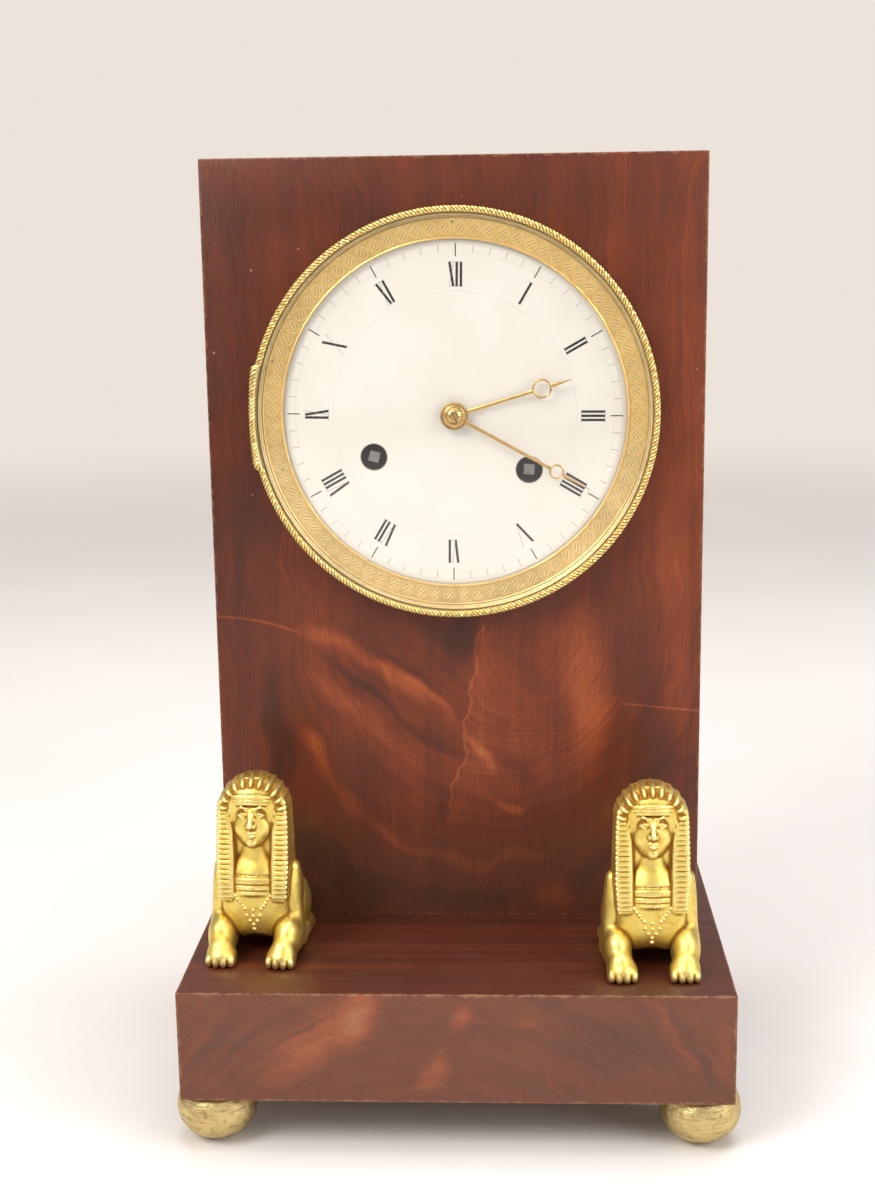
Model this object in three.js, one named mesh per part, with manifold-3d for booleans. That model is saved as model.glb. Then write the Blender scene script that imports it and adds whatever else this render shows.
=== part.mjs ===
// Mantel clock: an upright mahogany case on a projecting plinth, two sphinxes, bun feet, a hinged
// glazed bezel over an enamel dial, and a round striking movement with a pendulum.
// Millimetres. +Z is up, the dial faces -Y, and the origin is on the floor under the middle.
import * as THREE from "three";
import { mergeVertices } from "three/addons/utils/BufferGeometryUtils.js";
import Module from "manifold-3d";

const wasm = await Module();
wasm.setup();

// Clearances
const seatGap = 0.3; // between a piece and the seat that carries it
const runGap = 0.15; // around a turning arbor
const overrun = 2; // by which a cut runs past the faces it opens

// Plinth
const plinthWidth = 188;
const plinthHeight = 39.2;
const plinthFrontReach = 69.4; // of the plinth in front of the case
const plinthBackReach = 6.5; // of the plinth behind the case
const plinthTopBoard = 10;
const plinthWall = 6;
const plinthBottomBoard = 8;

// Feet
const footHeight = 19.5;
const footRadius = 14;
const footTopRadius = 8;
const footRestRadius = 7;
const footInset = 10.3; // from the side of the plinth to the axis of the foot
const footSetback = 14.2; // from the front or back of the plinth to the axis of the foot
const footStudRadius = 2;
const footStudLength = 6;

// Case
const caseWidth = 175;
const caseDepth = 92;
const caseHeight = 275.4;
const frontBoard = 10;
const sideBoard = 10;
const topBoard = 10;
const backBoard = 8;
const dialRise = 186.9; // from the top of the plinth to the centre of the dial

// Dial
const dialRadius = 61.6;
const dialDome = 3;
const dialThickness = 1.5;
const dialEdgeDepth = 0.9; // of the dial's edge in front of the case
const dialCentreHole = 3.1;
const windingHoleRadius = 4.6;

// Bezel seat, which is let into the front of the case
const seatFlangeRadius = 70.6;
const seatFlangeThickness = 1.2;
const sleeveWall = 1;
const sleeveLength = 12.7;
const seatLipReach = 16;
const seatLipThickness = 1.5;

// Engine-turned ring with its hollow moulding
const ringOuterRadius = 69.2;
const ringFrontDepth = 4.1;
const ridgeRadius = 67.3;
const ridgeDepth = 3.3;
const bandInnerRadius = 61.6;
const bandInnerDepth = 2.3;
const ringLipWidth = 0.6;
const milledEdgeWidth = 1;
const milledEdgeRise = 0.45;

// Hinged bezel rim with its glass
const beadRadius = 1.25;
const beadCentreRadius = 70.45;
const beadCentreDepth = 6.8;
const rimInnerRadius = 69.6;
const rimOuterRadius = 71.3;
const glassDome = 9;
const glassThickness = 1.1;
const glassFit = 0.2;
const hingeReach = 71.4; // from the centre of the dial to the hinge axis
const hingeDepth = 2.4; // of the hinge axis in front of the case
const knuckleRadius = 1.5;
const hingePinRadius = 0.6;
const fixedKnuckleLength = 12;
const hingeLength = 34;

// Hands
const handThickness = 0.7;
const hourHandDepth = 5.6; // from the front of the case to the face of the hour hand
const minuteHandDepth = 6.9;
const hourHandLength = 42.5;
const hourRingReach = 31.8;
const hourRingRadius = 3.5;
const minuteHandLength = 54.3;
const minuteRingReach = 40.6;
const minuteRingRadius = 2.8;
const handRingWall = 0.8;
const handWidth = 1.7;
const handTipWidth = 0.5;
const hourHubRadius = 3.9;
const minuteHubRadius = 4.4;
const colletRadius = 3;
const colletHeight = 1.6;
const hourHandAngle = 17.3; // degrees above the line to 3 o'clock
const minuteHandAngle = -28.3;

// Movement
const plateRadius = 50;
const plateThickness = 2;
const frontPlateDepth = 13; // behind the front of the case
const plateSpacing = 28;
const pillarRadius = 2.5;
const pillarCircle = 45;
const arborRadius = 0.75;
const pivotRadius = 0.5;
const shaftRadius = 1.1; // of the centre arbor, which carries the minute hand
const arborGap = 0.4; // from an arbor's shoulder to the plate
const goingBarrelX = 26;
const goingBarrelZ = -19.3;
const strikeBarrelX = -28.5;
const strikeBarrelZ = -14.4;
const barrelRadius = 15.4;
const barrelLength = 13;
const barrelOffset = 9; // behind the front plate, as are the offsets of the wheels
const greatWheelThickness = 2;
const windingArborRadius = 2.2;
const windingSquare = 3.7;
const squareDepth = 1.6; // of the winding square's end in front of the case
const ratchetRadius = 8;
const ratchetThickness = 1.4;
const ratchetOffset = 3.5;
const ratchetTeeth = 24;
const ratchetFall = 1.1;
const strikeSquareTurn = 15;
const goingSquareTurn = 4;
const wheelThickness = 1.2;
const pinionOverhang = 0.8; // of a pinion past each face of its wheel
const toothRiseShare = 0.68; // of the module, above the pitch circle
const toothFallShare = 1.25; // of the module, below the pitch circle
const greatTeeth = 72;
const greatPinionTeeth = 9;
const greatModule = 0.4667;
const secondTeeth = 60;
const secondPinionTeeth = 8;
const secondModule = 0.5;
const centreTeeth = 84;
const thirdPinionTeeth = 7;
const centreModule = 0.36;
const thirdTeeth = 70;
const escapePinionTeeth = 6;
const thirdModule = 0.34;
const escapeTeeth = 30;
const escapeRadius = 9;
const escapeRise = 22; // of the escape arbor above the centre
const escapeFall = 1.8;
const escapeRakeShare = 0.75; // of a step, from a tooth to the foot behind it
const anchorRise = 34; // of the anchor arbor above the centre
const anchorDrop = 7; // from the anchor arbor to the tips of its pallets
const anchorBody = 2.2;
const anchorArmShare = 0.6;
const anchorClearance = 1.2;
const cannonTeeth = 12;
const minuteTeeth = 36;
const minutePinionTeeth = 10;
const hourTeeth = 40;
const motionDistance = 12;
const motionStudLength = 6;
const hourPipeBore = 1.4;
const hourPipeRadius = 2.2;
const centreWheelOffset = 2;
const secondWheelOffset = 5.2;
const pinWheelOffset = 11;
const thirdWheelOffset = 16;
const escapeWheelOffset = 23;
const pinTeeth = 54;
const liftPins = 8;
const liftPinRadius = 0.4;
const liftPinLength = 2.2;
const strikeSecondAngle = 75; // degrees from the line to 3 o'clock, seen from the barrel
const pinWheelAngle = 85; // the same, seen from the second wheel
const pillarAngles = [50, 130, 245, 295];

// Behind the back plate
const countWheelRadius = 14;
const countWheelGap = 1.2;
const countWheelThickness = 1.2;
const countSlots = 11;
const countNotchRadius = 1.3;
const bellRadius = 31;
const bellDepth = 20;
const bellWall = 1.6;
const bellMouthGap = 11; // from the back plate to the mouth of the bell
const bellPostRadius = 2;
const bellPostOffset = 13;
const hammerArborX = -38;
const hammerArborZ = 26;
const hammerLength = 21;
const hammerAngle = 262; // degrees from the line to 3 o'clock
const hammerHeadRadius = 3.4;
const hammerHeadLength = 7;
const hammerArmWidth = 2.6;
const hammerTailLength = 7.2;
const hammerArmGap = 4.5;
const cockWidth = 12;
const cockHeight = 9;
const cockPinRadius = 0.7;
const pendulumGap = 3.6; // from the back plate to the plane in which the pendulum swings
const pendulumLength = 148;
const pendulumRodRadius = 1;
const bobRadius = 17;
const bobThickness = 7;
const eyeWall = 0.8;
const crutchLength = 26;
const crutchWidth = 2.4;
const crutchThickness = 1;
const crutchGap = 0.5;
const cockCheek = 1.5;
const rodTail = 4;
const bobCurveShare = 0.8;
const forkLength = 3.2;

// Rear bezel and door
const rearHoleRadius = 55;
const rearFlangeRadius = 61;
const rearFlangeThickness = 1.2;
const rearSleeveLength = 5.5;
const rearLipReach = 5;
const doorInnerRadius = 50;
const doorOuterRadius = 57.5;
const doorThickness = 2.8;
const doorGlassThickness = 1.3;
const doorRebate = 1.2;
const doorHingeReach = 59.6;

// Straps and their screws
const strapRadius = 52;
const strapThickness = 1.2;
const strapWidth = 8;
const strapFootReach = 7;
const strapBlockLength = 6;
const strapBlockThickness = 4.6;
const strapAngle = -25;
const screwRadius = 1.3;
const screwHeadRadius = 2.1;
const screwHeadHeight = 1.5;
const screwSlot = 0.7;
const strapScrewGap = 1;

// Sphinxes
const sphinxHeight = 66;
const sphinxLength = 46.5;
const sphinxLeftInset = 24.5; // from the side of the plinth to the middle of the sphinx
const sphinxRightInset = 26.4;
const sphinxLeftPaws = 19.5; // from the front of the plinth to the paws
const sphinxRightPaws = 9;
const sphinxLeftTurn = -9;
const sphinxRightTurn = 2;
const sphinxStudRadius = 1.5;
const sphinxStudLength = 9;

// Numbers of sides that round pieces get
const fineSides = 44;
const plateSides = 28;
const roundSides = 16;
const smallSides = 8;
const arborSides = 6;
const notchSides = 4;
const ballSides = 8;
const ballRings = 5;

const turn = Math.PI * 2;
const degree = Math.PI / 180;

// Heights and depths that follow from the sizes above
const plinthBase = footHeight;
const plinthTop = plinthBase + plinthHeight;
const plinthDepth = plinthFrontReach + caseDepth + plinthBackReach;
const plinthFrontY = -plinthDepth / 2;
const caseFrontY = plinthFrontY + plinthFrontReach;
const caseBackY = caseFrontY + caseDepth;
const caseTop = plinthTop + caseHeight;
const dialZ = plinthTop + dialRise;
const frontHoleRadius = dialRadius + sleeveWall + 2 * seatGap;
const frontPlateBack = frontPlateDepth + plateThickness;
const backPlateDepth = frontPlateBack + plateSpacing;
const platesEnd = backPlateDepth + plateThickness;
const ratchetDepth = frontPlateBack + ratchetOffset;
const barrelDepth = frontPlateBack + barrelOffset;
const centreWheelDepth = frontPlateBack + centreWheelOffset;
const secondWheelDepth = frontPlateBack + secondWheelOffset;
const pinWheelDepth = frontPlateBack + pinWheelOffset;
const thirdWheelDepth = frontPlateBack + thirdWheelOffset;
const escapeWheelDepth = frontPlateBack + escapeWheelOffset;
const pendulumDepth = platesEnd + pendulumGap;

// Turns a geometry or a list of points into a closed solid whose faces point outwards.
function solidOf(geometry) {
  const bare = geometry.index ? geometry.toNonIndexed() : geometry.clone();
  bare.deleteAttribute("normal");
  bare.deleteAttribute("uv");
  const merged = mergeVertices(bare);
  const faces = Array.from(merged.index.array);
  const kept = [];
  for (let i = 0; i < faces.length; i += 3) {
    const [a, b, c] = faces.slice(i, i + 3);
    if (a !== b && b !== c && a !== c) kept.push(a, b, c);
  }
  const make = (list) =>
    new wasm.Manifold(
      new wasm.Mesh({
        numProp: 3,
        vertProperties: merged.attributes.position.array,
        triVerts: new Uint32Array(list),
      }),
    );
  const solid = make(kept);
  return solid.volume() < 0 ? make(kept.reverse()) : solid;
}

function geometryOf(solid) {
  const { vertProperties, triVerts } = solid.getMesh();
  const geometry = new THREE.BufferGeometry();
  geometry.setAttribute("position", new THREE.BufferAttribute(vertProperties, 3));
  geometry.setIndex(new THREE.BufferAttribute(triVerts, 1));
  geometry.computeVertexNormals();
  return geometry;
}

const join = (...solids) => solids.reduce((all, one) => all.add(one));
const cut = (solid, ...tools) => tools.reduce((left, tool) => left.subtract(tool), solid);

// A box between two values along each axis.
function block(x0, x1, y0, y1, z0, z1) {
  const box = new THREE.BoxGeometry(x1 - x0, y1 - y0, z1 - z0);
  return solidOf(box.translate((x0 + x1) / 2, (y0 + y1) / 2, (z0 + z1) / 2));
}

// A piece turned about the Y axis from [radius, depth] points; a ring's profile is closed here.
function turned(points, sides, x = 0, z = 0) {
  const profile = points.map(([r, y]) => new THREE.Vector2(r, y));
  if (points.every(([r]) => r > 0)) profile.push(profile[0].clone());
  return solidOf(new THREE.LatheGeometry(profile, sides).translate(x, 0, z));
}

// A round bar along Y, from one depth to another.
function bar(x, z, radius, from, to, sides = smallSides) {
  const shape = new THREE.CylinderGeometry(radius, radius, Math.abs(to - from), sides);
  return solidOf(shape.translate(x, (from + to) / 2, z));
}

// A flat outline in X and Z, given thickness along Y.
function plate(shape, from, to) {
  const thickness = to - from;
  const flat = new THREE.ExtrudeGeometry(shape, { depth: thickness, bevelEnabled: false });
  return solidOf(flat.rotateX(Math.PI / 2).translate(0, to, 0));
}

// A hole that clears a round bar of the same number of sides at any angle.
const clearOf = (radius, gap = runGap) => (radius + gap) / Math.cos(Math.PI / arborSides);

const polar = (radius, angle, x = 0, z = 0) => [
  x + radius * Math.cos(angle),
  z + radius * Math.sin(angle),
];

// The point at one distance from a first point and another from a second; side is 1 or -1.
function meetingPoint([ax, az], fromA, [bx, bz], fromB, side) {
  const span = Math.hypot(bx - ax, bz - az);
  const along = (fromA ** 2 - fromB ** 2 + span ** 2) / (2 * span);
  const across = side * Math.sqrt(fromA ** 2 - along ** 2);
  const ux = (bx - ax) / span;
  const uz = (bz - az) / span;
  return [ax + ux * along - uz * across, az + uz * along + ux * across];
}

// The angle of a tooth of a wheel that meshes with another wheel's teeth.
function meshingAngle(from, fromTeeth, fromAngle, to, teeth) {
  const line = Math.atan2(to[1] - from[1], to[0] - from[0]);
  const offset = ((line - fromAngle) * fromTeeth) / turn;
  return line + Math.PI + ((offset + 1 / 2) * turn) / teeth;
}

// A toothed wheel or pinion with pointed teeth; angle is where one tooth stands.
function gear([x, z], teeth, module, angle, from, to) {
  const pitchRadius = (teeth * module) / 2;
  const shape = new THREE.Shape();
  for (let i = 0; i < teeth; i += 1) {
    const tip = angle + (i * turn) / teeth;
    const root = tip + turn / teeth / 2;
    const outer = polar(pitchRadius + toothRiseShare * module, tip, x, z);
    const inner = polar(pitchRadius - toothFallShare * module, root, x, z);
    if (i === 0) shape.moveTo(...outer);
    else shape.lineTo(...outer);
    shape.lineTo(...inner);
  }
  return plate(shape, from, to);
}

// An arbor between the plates with a pivot in each plate.
function arbor([x, z], back = platesEnd) {
  const front = frontPlateBack + arborGap;
  const rear = backPlateDepth - arborGap;
  return join(
    bar(x, z, arborRadius, front, rear, arborSides),
    bar(x, z, pivotRadius, frontPlateDepth, back, arborSides),
  );
}

const finish = (color, roughness, metalness) =>
  new THREE.MeshStandardMaterial({ color, roughness, metalness });
const mahogany = finish(0x5c2213, 0.35, 0);
const gilt = finish(0xd9a441, 0.35, 1);
const brass = finish(0xb8923f, 0.4, 1);
const steel = finish(0x6a6a70, 0.35, 1);
const enamel = finish(0xf4f1ea, 0.15, 0);
const glass = new THREE.MeshStandardMaterial({
  color: 0xeef4f4,
  roughness: 0.05,
  metalness: 0,
  transparent: true,
  opacity: 0.25,
});

const clock = new THREE.Group();
const movement = new THREE.Group();
movement.position.set(0, caseFrontY, dialZ);
clock.add(movement);

function place(group, name, solid, material) {
  const mesh = new THREE.Mesh(geometryOf(solid), material);
  mesh.name = name;
  group.add(mesh);
}

// Case: front and back boards over the full width, sides and top between them
const halfCase = caseWidth / 2;
const frontInside = caseFrontY + frontBoard;
const backInside = caseBackY - backBoard;
const boardHole = (radius, from, to, sides) =>
  bar(0, dialZ, radius, from - overrun, to + overrun, sides);
const frontHole = boardHole(frontHoleRadius, caseFrontY, frontInside, fineSides);
const rearHole = boardHole(rearHoleRadius, backInside, caseBackY, plateSides);
place(
  clock,
  "case_front",
  cut(block(-halfCase, halfCase, caseFrontY, frontInside, plinthTop, caseTop), frontHole),
  mahogany,
);
place(
  clock,
  "case_back",
  cut(block(-halfCase, halfCase, backInside, caseBackY, plinthTop, caseTop), rearHole),
  mahogany,
);
for (const [name, outer, inner] of [
  ["case_side_left", -halfCase, sideBoard - halfCase],
  ["case_side_right", halfCase - sideBoard, halfCase],
]) {
  place(
    clock,
    name,
    block(outer, inner, frontInside, backInside, plinthTop, caseTop - topBoard),
    mahogany,
  );
}
place(
  clock,
  "case_top",
  block(-halfCase, halfCase, frontInside, backInside, caseTop - topBoard, caseTop),
  mahogany,
);

// Plinth: a box of boards whose top board covers the others
const halfPlinth = plinthWidth / 2;
const plinthBackY = -plinthFrontY;
const underTop = plinthTop - plinthTopBoard;
const studHoles = [];
const sphinxes = [
  { name: "sphinx_left", x: sphinxLeftInset - halfPlinth, paws: sphinxLeftPaws, turnBy: sphinxLeftTurn },
  { name: "sphinx_right", x: halfPlinth - sphinxRightInset, paws: sphinxRightPaws, turnBy: sphinxRightTurn },
];

// Sphinx, in its own frame: paws at y = 0 facing -Y, middle of the body at x = 0, underside at z = 0.
// Widths and heights are shares of its height, and places along it are shares of its length.
const headdressFrontShare = 0.27;
const headdressBackShare = 0.55;
const bodyHalfWidthShare = 0.13;
// Half of the headdress seen from the front, from the crown down to a lappet's end
const headdressShares = [
  [0, 1],
  [0.08, 0.985],
  [0.145, 0.93],
  [0.185, 0.84],
  [0.2, 0.7],
  [0.2, 0.52],
  [0.185, 0.36],
  [0.15, 0.31],
  [0.09, 0.33],
  [0.08, 0.45],
];
// Side view of the body, paws to rump
const bodySideShares = [
  [0.18, 0],
  [0.2, 0.2],
  [0.26, 0.42],
  [0.38, 0.5],
  [0.54, 0.44],
  [0.76, 0.38],
  [0.95, 0.33],
  [1, 0.2],
  [0.98, 0],
];
// Each swelling: its middle across, along and up, then half its width, length and height
const middleSwellShares = [
  [0, 0.35, 0.74, 0.125, 0.19, 0.17], // face
  [0, 0.44, 0.86, 0.16, 0.22, 0.13], // crown
  [0, 0.32, 0.34, 0.17, 0.17, 0.2], // breast
  [0, 0.68, 0.24, 0.17, 0.3, 0.19], // belly
];
const sideSwellShares = [
  [0.155, 0.12, 0.06, 0.085, 0.12, 0.075], // paw
  [0.155, 0.28, 0.09, 0.065, 0.22, 0.09], // foreleg
  [0.155, 0.38, 0.22, 0.08, 0.13, 0.18], // shoulder
  [0.15, 0.78, 0.17, 0.085, 0.2, 0.17], // haunch
  [0.2, 0.64, 0.045, 0.05, 0.19, 0.055], // hind foot
];
function swelling([x, y, z, rx, ry, rz]) {
  const ball = new THREE.SphereGeometry(1, ballSides, ballRings);
  ball.rotateX(Math.PI / 2);
  ball.scale(rx * sphinxHeight, ry * sphinxLength, rz * sphinxHeight);
  return solidOf(ball.translate(x * sphinxHeight, y * sphinxLength, z * sphinxHeight));
}
function outlineOf(points, across) {
  return new THREE.Shape(points.map(([x, z]) => new THREE.Vector2(x * across, z * sphinxHeight)));
}
function bodySlab() {
  const wide = 2 * bodyHalfWidthShare * sphinxHeight;
  const shape = outlineOf(bodySideShares, sphinxLength);
  const slab = new THREE.ExtrudeGeometry(shape, { depth: wide, bevelEnabled: false });
  return solidOf(slab.rotateX(Math.PI / 2).rotateZ(Math.PI / 2).translate(-wide / 2, 0, 0));
}
function sphinxSolid() {
  const mirrored = headdressShares.map(([x, z]) => [-x, z]).reverse();
  const front = outlineOf([...headdressShares, ...mirrored.slice(0, -1)], sphinxHeight);
  const headdress = plate(
    front,
    sphinxLength * headdressFrontShare,
    sphinxLength * headdressBackShare,
  );
  const above = block(-sphinxHeight, sphinxHeight, -sphinxHeight, sphinxHeight, 0, 2 * sphinxHeight);
  return join(
    bodySlab(),
    headdress,
    ...middleSwellShares.map(swelling),
    ...sideSwellShares.map(swelling),
    ...sideSwellShares.map(([x, ...rest]) => swelling([-x, ...rest])),
  ).intersect(above);
}
const uprightBar = (x, y, radius, from, to) => {
  const shape = new THREE.CylinderGeometry(radius, radius, to - from, smallSides);
  return solidOf(shape.rotateX(Math.PI / 2).translate(x, y, (from + to) / 2));
};
for (const { name, x, paws, turnBy } of sphinxes) {
  const stand = new THREE.Group();
  stand.position.set(x, plinthFrontY + paws, plinthTop + seatGap);
  stand.rotation.z = turnBy * degree;
  clock.add(stand);
  const studY = sphinxLength / 2;
  const stud = uprightBar(0, studY, sphinxStudRadius, -sphinxStudLength, overrun);
  place(stand, name, join(sphinxSolid(), stud), gilt);
  const hole = new THREE.Vector3(0, studY, 0).applyEuler(stand.rotation);
  studHoles.push([x + hole.x, plinthFrontY + paws + hole.y]);
}
place(
  clock,
  "plinth_top",
  cut(
    block(-halfPlinth, halfPlinth, plinthFrontY, plinthBackY, underTop, plinthTop),
    ...studHoles.map(([x, y]) =>
      uprightBar(x, y, clearOf(sphinxStudRadius, seatGap), underTop - overrun, plinthTop + overrun),
    ),
  ),
  mahogany,
);
const insideX = halfPlinth - plinthWall;
const insideY = plinthBackY - plinthWall;
place(
  clock,
  "plinth_front",
  block(-halfPlinth, halfPlinth, plinthFrontY, -insideY, plinthBase, underTop),
  mahogany,
);
place(
  clock,
  "plinth_back",
  block(-halfPlinth, halfPlinth, insideY, plinthBackY, plinthBase, underTop),
  mahogany,
);
for (const [name, outer, inner] of [
  ["plinth_side_left", -halfPlinth, -insideX],
  ["plinth_side_right", insideX, halfPlinth],
]) {
  place(clock, name, block(outer, inner, -insideY, insideY, plinthBase, underTop), mahogany);
}

// Feet, each with a stud on its axis that screws into the bottom board
const footX = halfPlinth - footInset;
const footY = plinthBackY - footSetback;
const feet = [
  ["foot_front_left", -footX, -footY],
  ["foot_front_right", footX, -footY],
  ["foot_back_left", -footX, footY],
  ["foot_back_right", footX, footY],
];
const bottomBoardTop = plinthBase + plinthBottomBoard;
place(
  clock,
  "plinth_bottom",
  cut(
    block(-insideX, insideX, -insideY, insideY, plinthBase, bottomBoardTop),
    ...feet.map(([, x, y]) =>
      uprightBar(
        x,
        y,
        clearOf(footStudRadius, seatGap),
        plinthBase - overrun,
        bottomBoardTop + overrun,
      ),
    ),
  ),
  mahogany,
);
const footTop = footHeight - seatGap;
const footBulgeShares = [0, 0.1, 0.3, 0.5, 0.7, 0.9, 1];
const footBulge = footBulgeShares.map((share) => {
  const level = 2 * share - 1;
  const base = level < 0 ? footRestRadius : footTopRadius;
  return [base + (footRadius - base) * Math.sqrt(1 - level ** 2), share * footTop];
});
const footProfile = [[0, 0], ...footBulge, [0, footTop]].map(([r, h]) => new THREE.Vector2(r, h));
for (const [name, x, y] of feet) {
  const ball = new THREE.LatheGeometry(footProfile, roundSides);
  const body = solidOf(ball.rotateX(Math.PI / 2).translate(x, y, 0));
  const stud = uprightBar(x, y, footStudRadius, footHeight / 2, footHeight + footStudLength);
  place(clock, name, join(body, stud), gilt);
}

// Bezel seat: flange on the case, sleeve through it, lip behind for the movement, and a fixed knuckle
const sleeveInner = dialRadius + seatGap;
const sleeveOuter = sleeveInner + sleeveWall;
const hingeX = -hingeReach;
const knuckle = (from, to, radius) => {
  const tube = new THREE.CylinderGeometry(radius, radius, to - from, smallSides);
  return solidOf(tube.rotateX(Math.PI / 2).translate(hingeX, -hingeDepth, (from + to) / 2));
};
const flangeFront = -seatGap - seatFlangeThickness;
const halfFixed = fixedKnuckleLength / 2;
const halfHinge = hingeLength / 2;
const movingFrom = halfFixed + seatGap;
const pinHole = knuckle(-halfHinge - overrun, halfHinge + overrun, clearOf(hingePinRadius));
const seatRing = turned(
  [
    [sleeveInner, flangeFront],
    [seatFlangeRadius, flangeFront],
    [seatFlangeRadius, -seatGap],
    [sleeveOuter, -seatGap],
    [sleeveOuter, sleeveLength],
    [sleeveInner - seatLipReach, sleeveLength],
    [sleeveInner - seatLipReach, sleeveLength - seatLipThickness],
    [sleeveInner, sleeveLength - seatLipThickness],
  ],
  fineSides,
);
const strapFootDepth = sleeveLength + seatGap;
const fixedLeaf = block(
  hingeX,
  -seatFlangeRadius + seatFlangeThickness,
  flangeFront,
  -seatGap,
  -halfFixed,
  halfFixed,
);
const knuckleRoom = join(
  knuckle(movingFrom - seatGap, halfHinge + seatGap, knuckleRadius + seatGap),
  knuckle(-halfHinge - seatGap, seatGap - movingFrom, knuckleRadius + seatGap),
);
place(
  movement,
  "bezel_seat",
  cut(join(seatRing, fixedLeaf, knuckle(-halfFixed, halfFixed, knuckleRadius)), knuckleRoom, pinHole),
  brass,
);

// Engine-turned ring, its hollow moulding outside and milled edge inside
const ringBack = flangeFront - seatGap;
const hollowOuter = ringOuterRadius - ringLipWidth;
const hollowShares = [0, 0.33, 0.66, 1];
const hollow = hollowShares.map((share) => [
  hollowOuter - (hollowOuter - ridgeRadius) * share,
  -ringFrontDepth + (ringFrontDepth - ridgeDepth) * Math.sin((share * Math.PI) / 2),
]);
const milledCentre = bandInnerRadius - milledEdgeWidth / 2;
const ringProfile = [
  [ringOuterRadius, ringBack],
  [ringOuterRadius, -ringFrontDepth],
  ...hollow,
  [bandInnerRadius, -bandInnerDepth],
  [milledCentre + milledEdgeWidth / 4, -bandInnerDepth - milledEdgeRise],
  [milledCentre - milledEdgeWidth / 4, -bandInnerDepth - milledEdgeRise],
  [bandInnerRadius - milledEdgeWidth, -bandInnerDepth],
  [bandInnerRadius - milledEdgeWidth, ringBack],
];
place(movement, "guilloche_ring", turned(ringProfile, fineSides), gilt);

// Enamel dial, domed, with its centre hole and two winding holes
const domeShares = [1, 0.85, 0.6, 0.3, 0];
const domeAt = (share, depth, rise, radius) => [share * radius, -depth - rise * (1 - share ** 2)];
const dialFront = domeShares.map((share) => domeAt(share, dialEdgeDepth, dialDome, dialRadius));
const dialBackShares = [1, 0.6, 0];
const dialBack = dialBackShares
  .map((share) => domeAt(share, dialEdgeDepth - dialThickness, dialDome, dialRadius))
  .reverse();
const barrels = [
  [strikeBarrelX, strikeBarrelZ],
  [goingBarrelX, goingBarrelZ],
];
const throughDial = (x, z, radius) => bar(x, z, radius, -dialDome - 2 * overrun, 2 * overrun, roundSides);
place(
  movement,
  "enamel_dial",
  cut(
    turned([...dialBack, ...dialFront], fineSides),
    throughDial(0, 0, dialCentreHole),
    ...barrels.map(([x, z]) => throughDial(x, z, windingHoleRadius)),
  ),
  enamel,
);

// Bezel rim: a wall with a round bead, and moving knuckles at 9 o'clock
const beadShares = [0.02, 0.25, 0.5, 0.75, 0.98];
const bead = beadShares.map((share) => {
  const angle = -share * Math.PI;
  return polar(beadRadius, angle, beadCentreRadius, -beadCentreDepth);
});
const glassSeat = -(beadCentreDepth - beadRadius);
const beadInner = beadCentreRadius - beadRadius;
const beadFront = -beadCentreDepth - 2 * beadRadius;
const rimWall = turned(
  [
    [rimOuterRadius, ringBack],
    ...bead,
    [beadInner, glassSeat],
    [rimInnerRadius, glassSeat],
    [rimInnerRadius, ringBack],
  ],
  fineSides,
);
const leafInner = -Math.sqrt(rimInnerRadius ** 2 - halfHinge ** 2) - seatFlangeThickness;
const leafBack = -hingeDepth - knuckleRadius / 2;
const movingLeaves = [
  [movingFrom, halfHinge],
  [-halfHinge, -movingFrom],
].map(([from, to]) =>
  join(
    knuckle(from, to, knuckleRadius),
    block(hingeX, leafInner, -beadCentreDepth, leafBack, from, to),
  ),
);
const glassRoom = turned(
  [
    [0, beadFront],
    [beadInner, beadFront],
    [beadInner, glassSeat],
    [rimInnerRadius, glassSeat],
    [rimInnerRadius, overrun],
    [0, overrun],
  ],
  fineSides,
);
place(
  movement,
  "bezel_rim",
  cut(
    join(rimWall, ...movingLeaves),
    knuckle(-halfFixed - seatGap, halfFixed + seatGap, knuckleRadius + seatGap),
    glassRoom,
    pinHole,
  ),
  gilt,
);
place(movement, "bezel_hinge_pin", knuckle(-halfHinge, halfHinge, hingePinRadius), brass);

// Convex glass with a flat edge behind the bead
const glassRadius = rimInnerRadius - glassFit;
const glassFace = glassSeat + glassFit;
const glassDomeRadius = beadInner - seatGap;
const outerDome = domeShares.map((share) =>
  domeAt(share, -glassFace + glassThickness / 2, glassDome, glassDomeRadius),
);
const innerDome = domeShares
  .map((share) =>
    domeAt(share, -glassFace - glassThickness, glassDome, glassDomeRadius - glassThickness),
  )
  .reverse();
place(
  movement,
  "dial_glass",
  turned(
    [
      ...innerDome,
      [glassRadius, glassFace + glassThickness],
      [glassRadius, glassFace],
      [glassDomeRadius, glassFace],
      ...outerDome,
    ],
    fineSides,
  ),
  glass,
);

// Hands: a tapered blade with a hollow ring near its tip
function hand({ length, ringReach, ringRadius, hubRadius, bore, angle, depth }) {
  const from = -depth;
  const to = from + handThickness;
  const blade = new THREE.Shape([
    new THREE.Vector2(0, -handWidth / 2),
    new THREE.Vector2(length, -handTipWidth / 2),
    new THREE.Vector2(length, handTipWidth / 2),
    new THREE.Vector2(0, handWidth / 2),
  ]);
  const solid = cut(
    join(
      plate(blade, from, to),
      bar(ringReach, 0, ringRadius, from, to, roundSides),
      bar(0, 0, hubRadius, from, to, roundSides),
    ),
    bar(ringReach, 0, ringRadius - handRingWall, from - overrun, to + overrun, roundSides),
    bar(0, 0, bore, from - overrun, to + overrun),
  );
  return solid.rotate([0, -angle, 0]);
}
place(
  movement,
  "hour_hand",
  hand({
    length: hourHandLength,
    ringReach: hourRingReach,
    ringRadius: hourRingRadius,
    hubRadius: hourHubRadius,
    bore: clearOf(hourPipeRadius),
    angle: hourHandAngle,
    depth: hourHandDepth,
  }),
  gilt,
);
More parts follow.
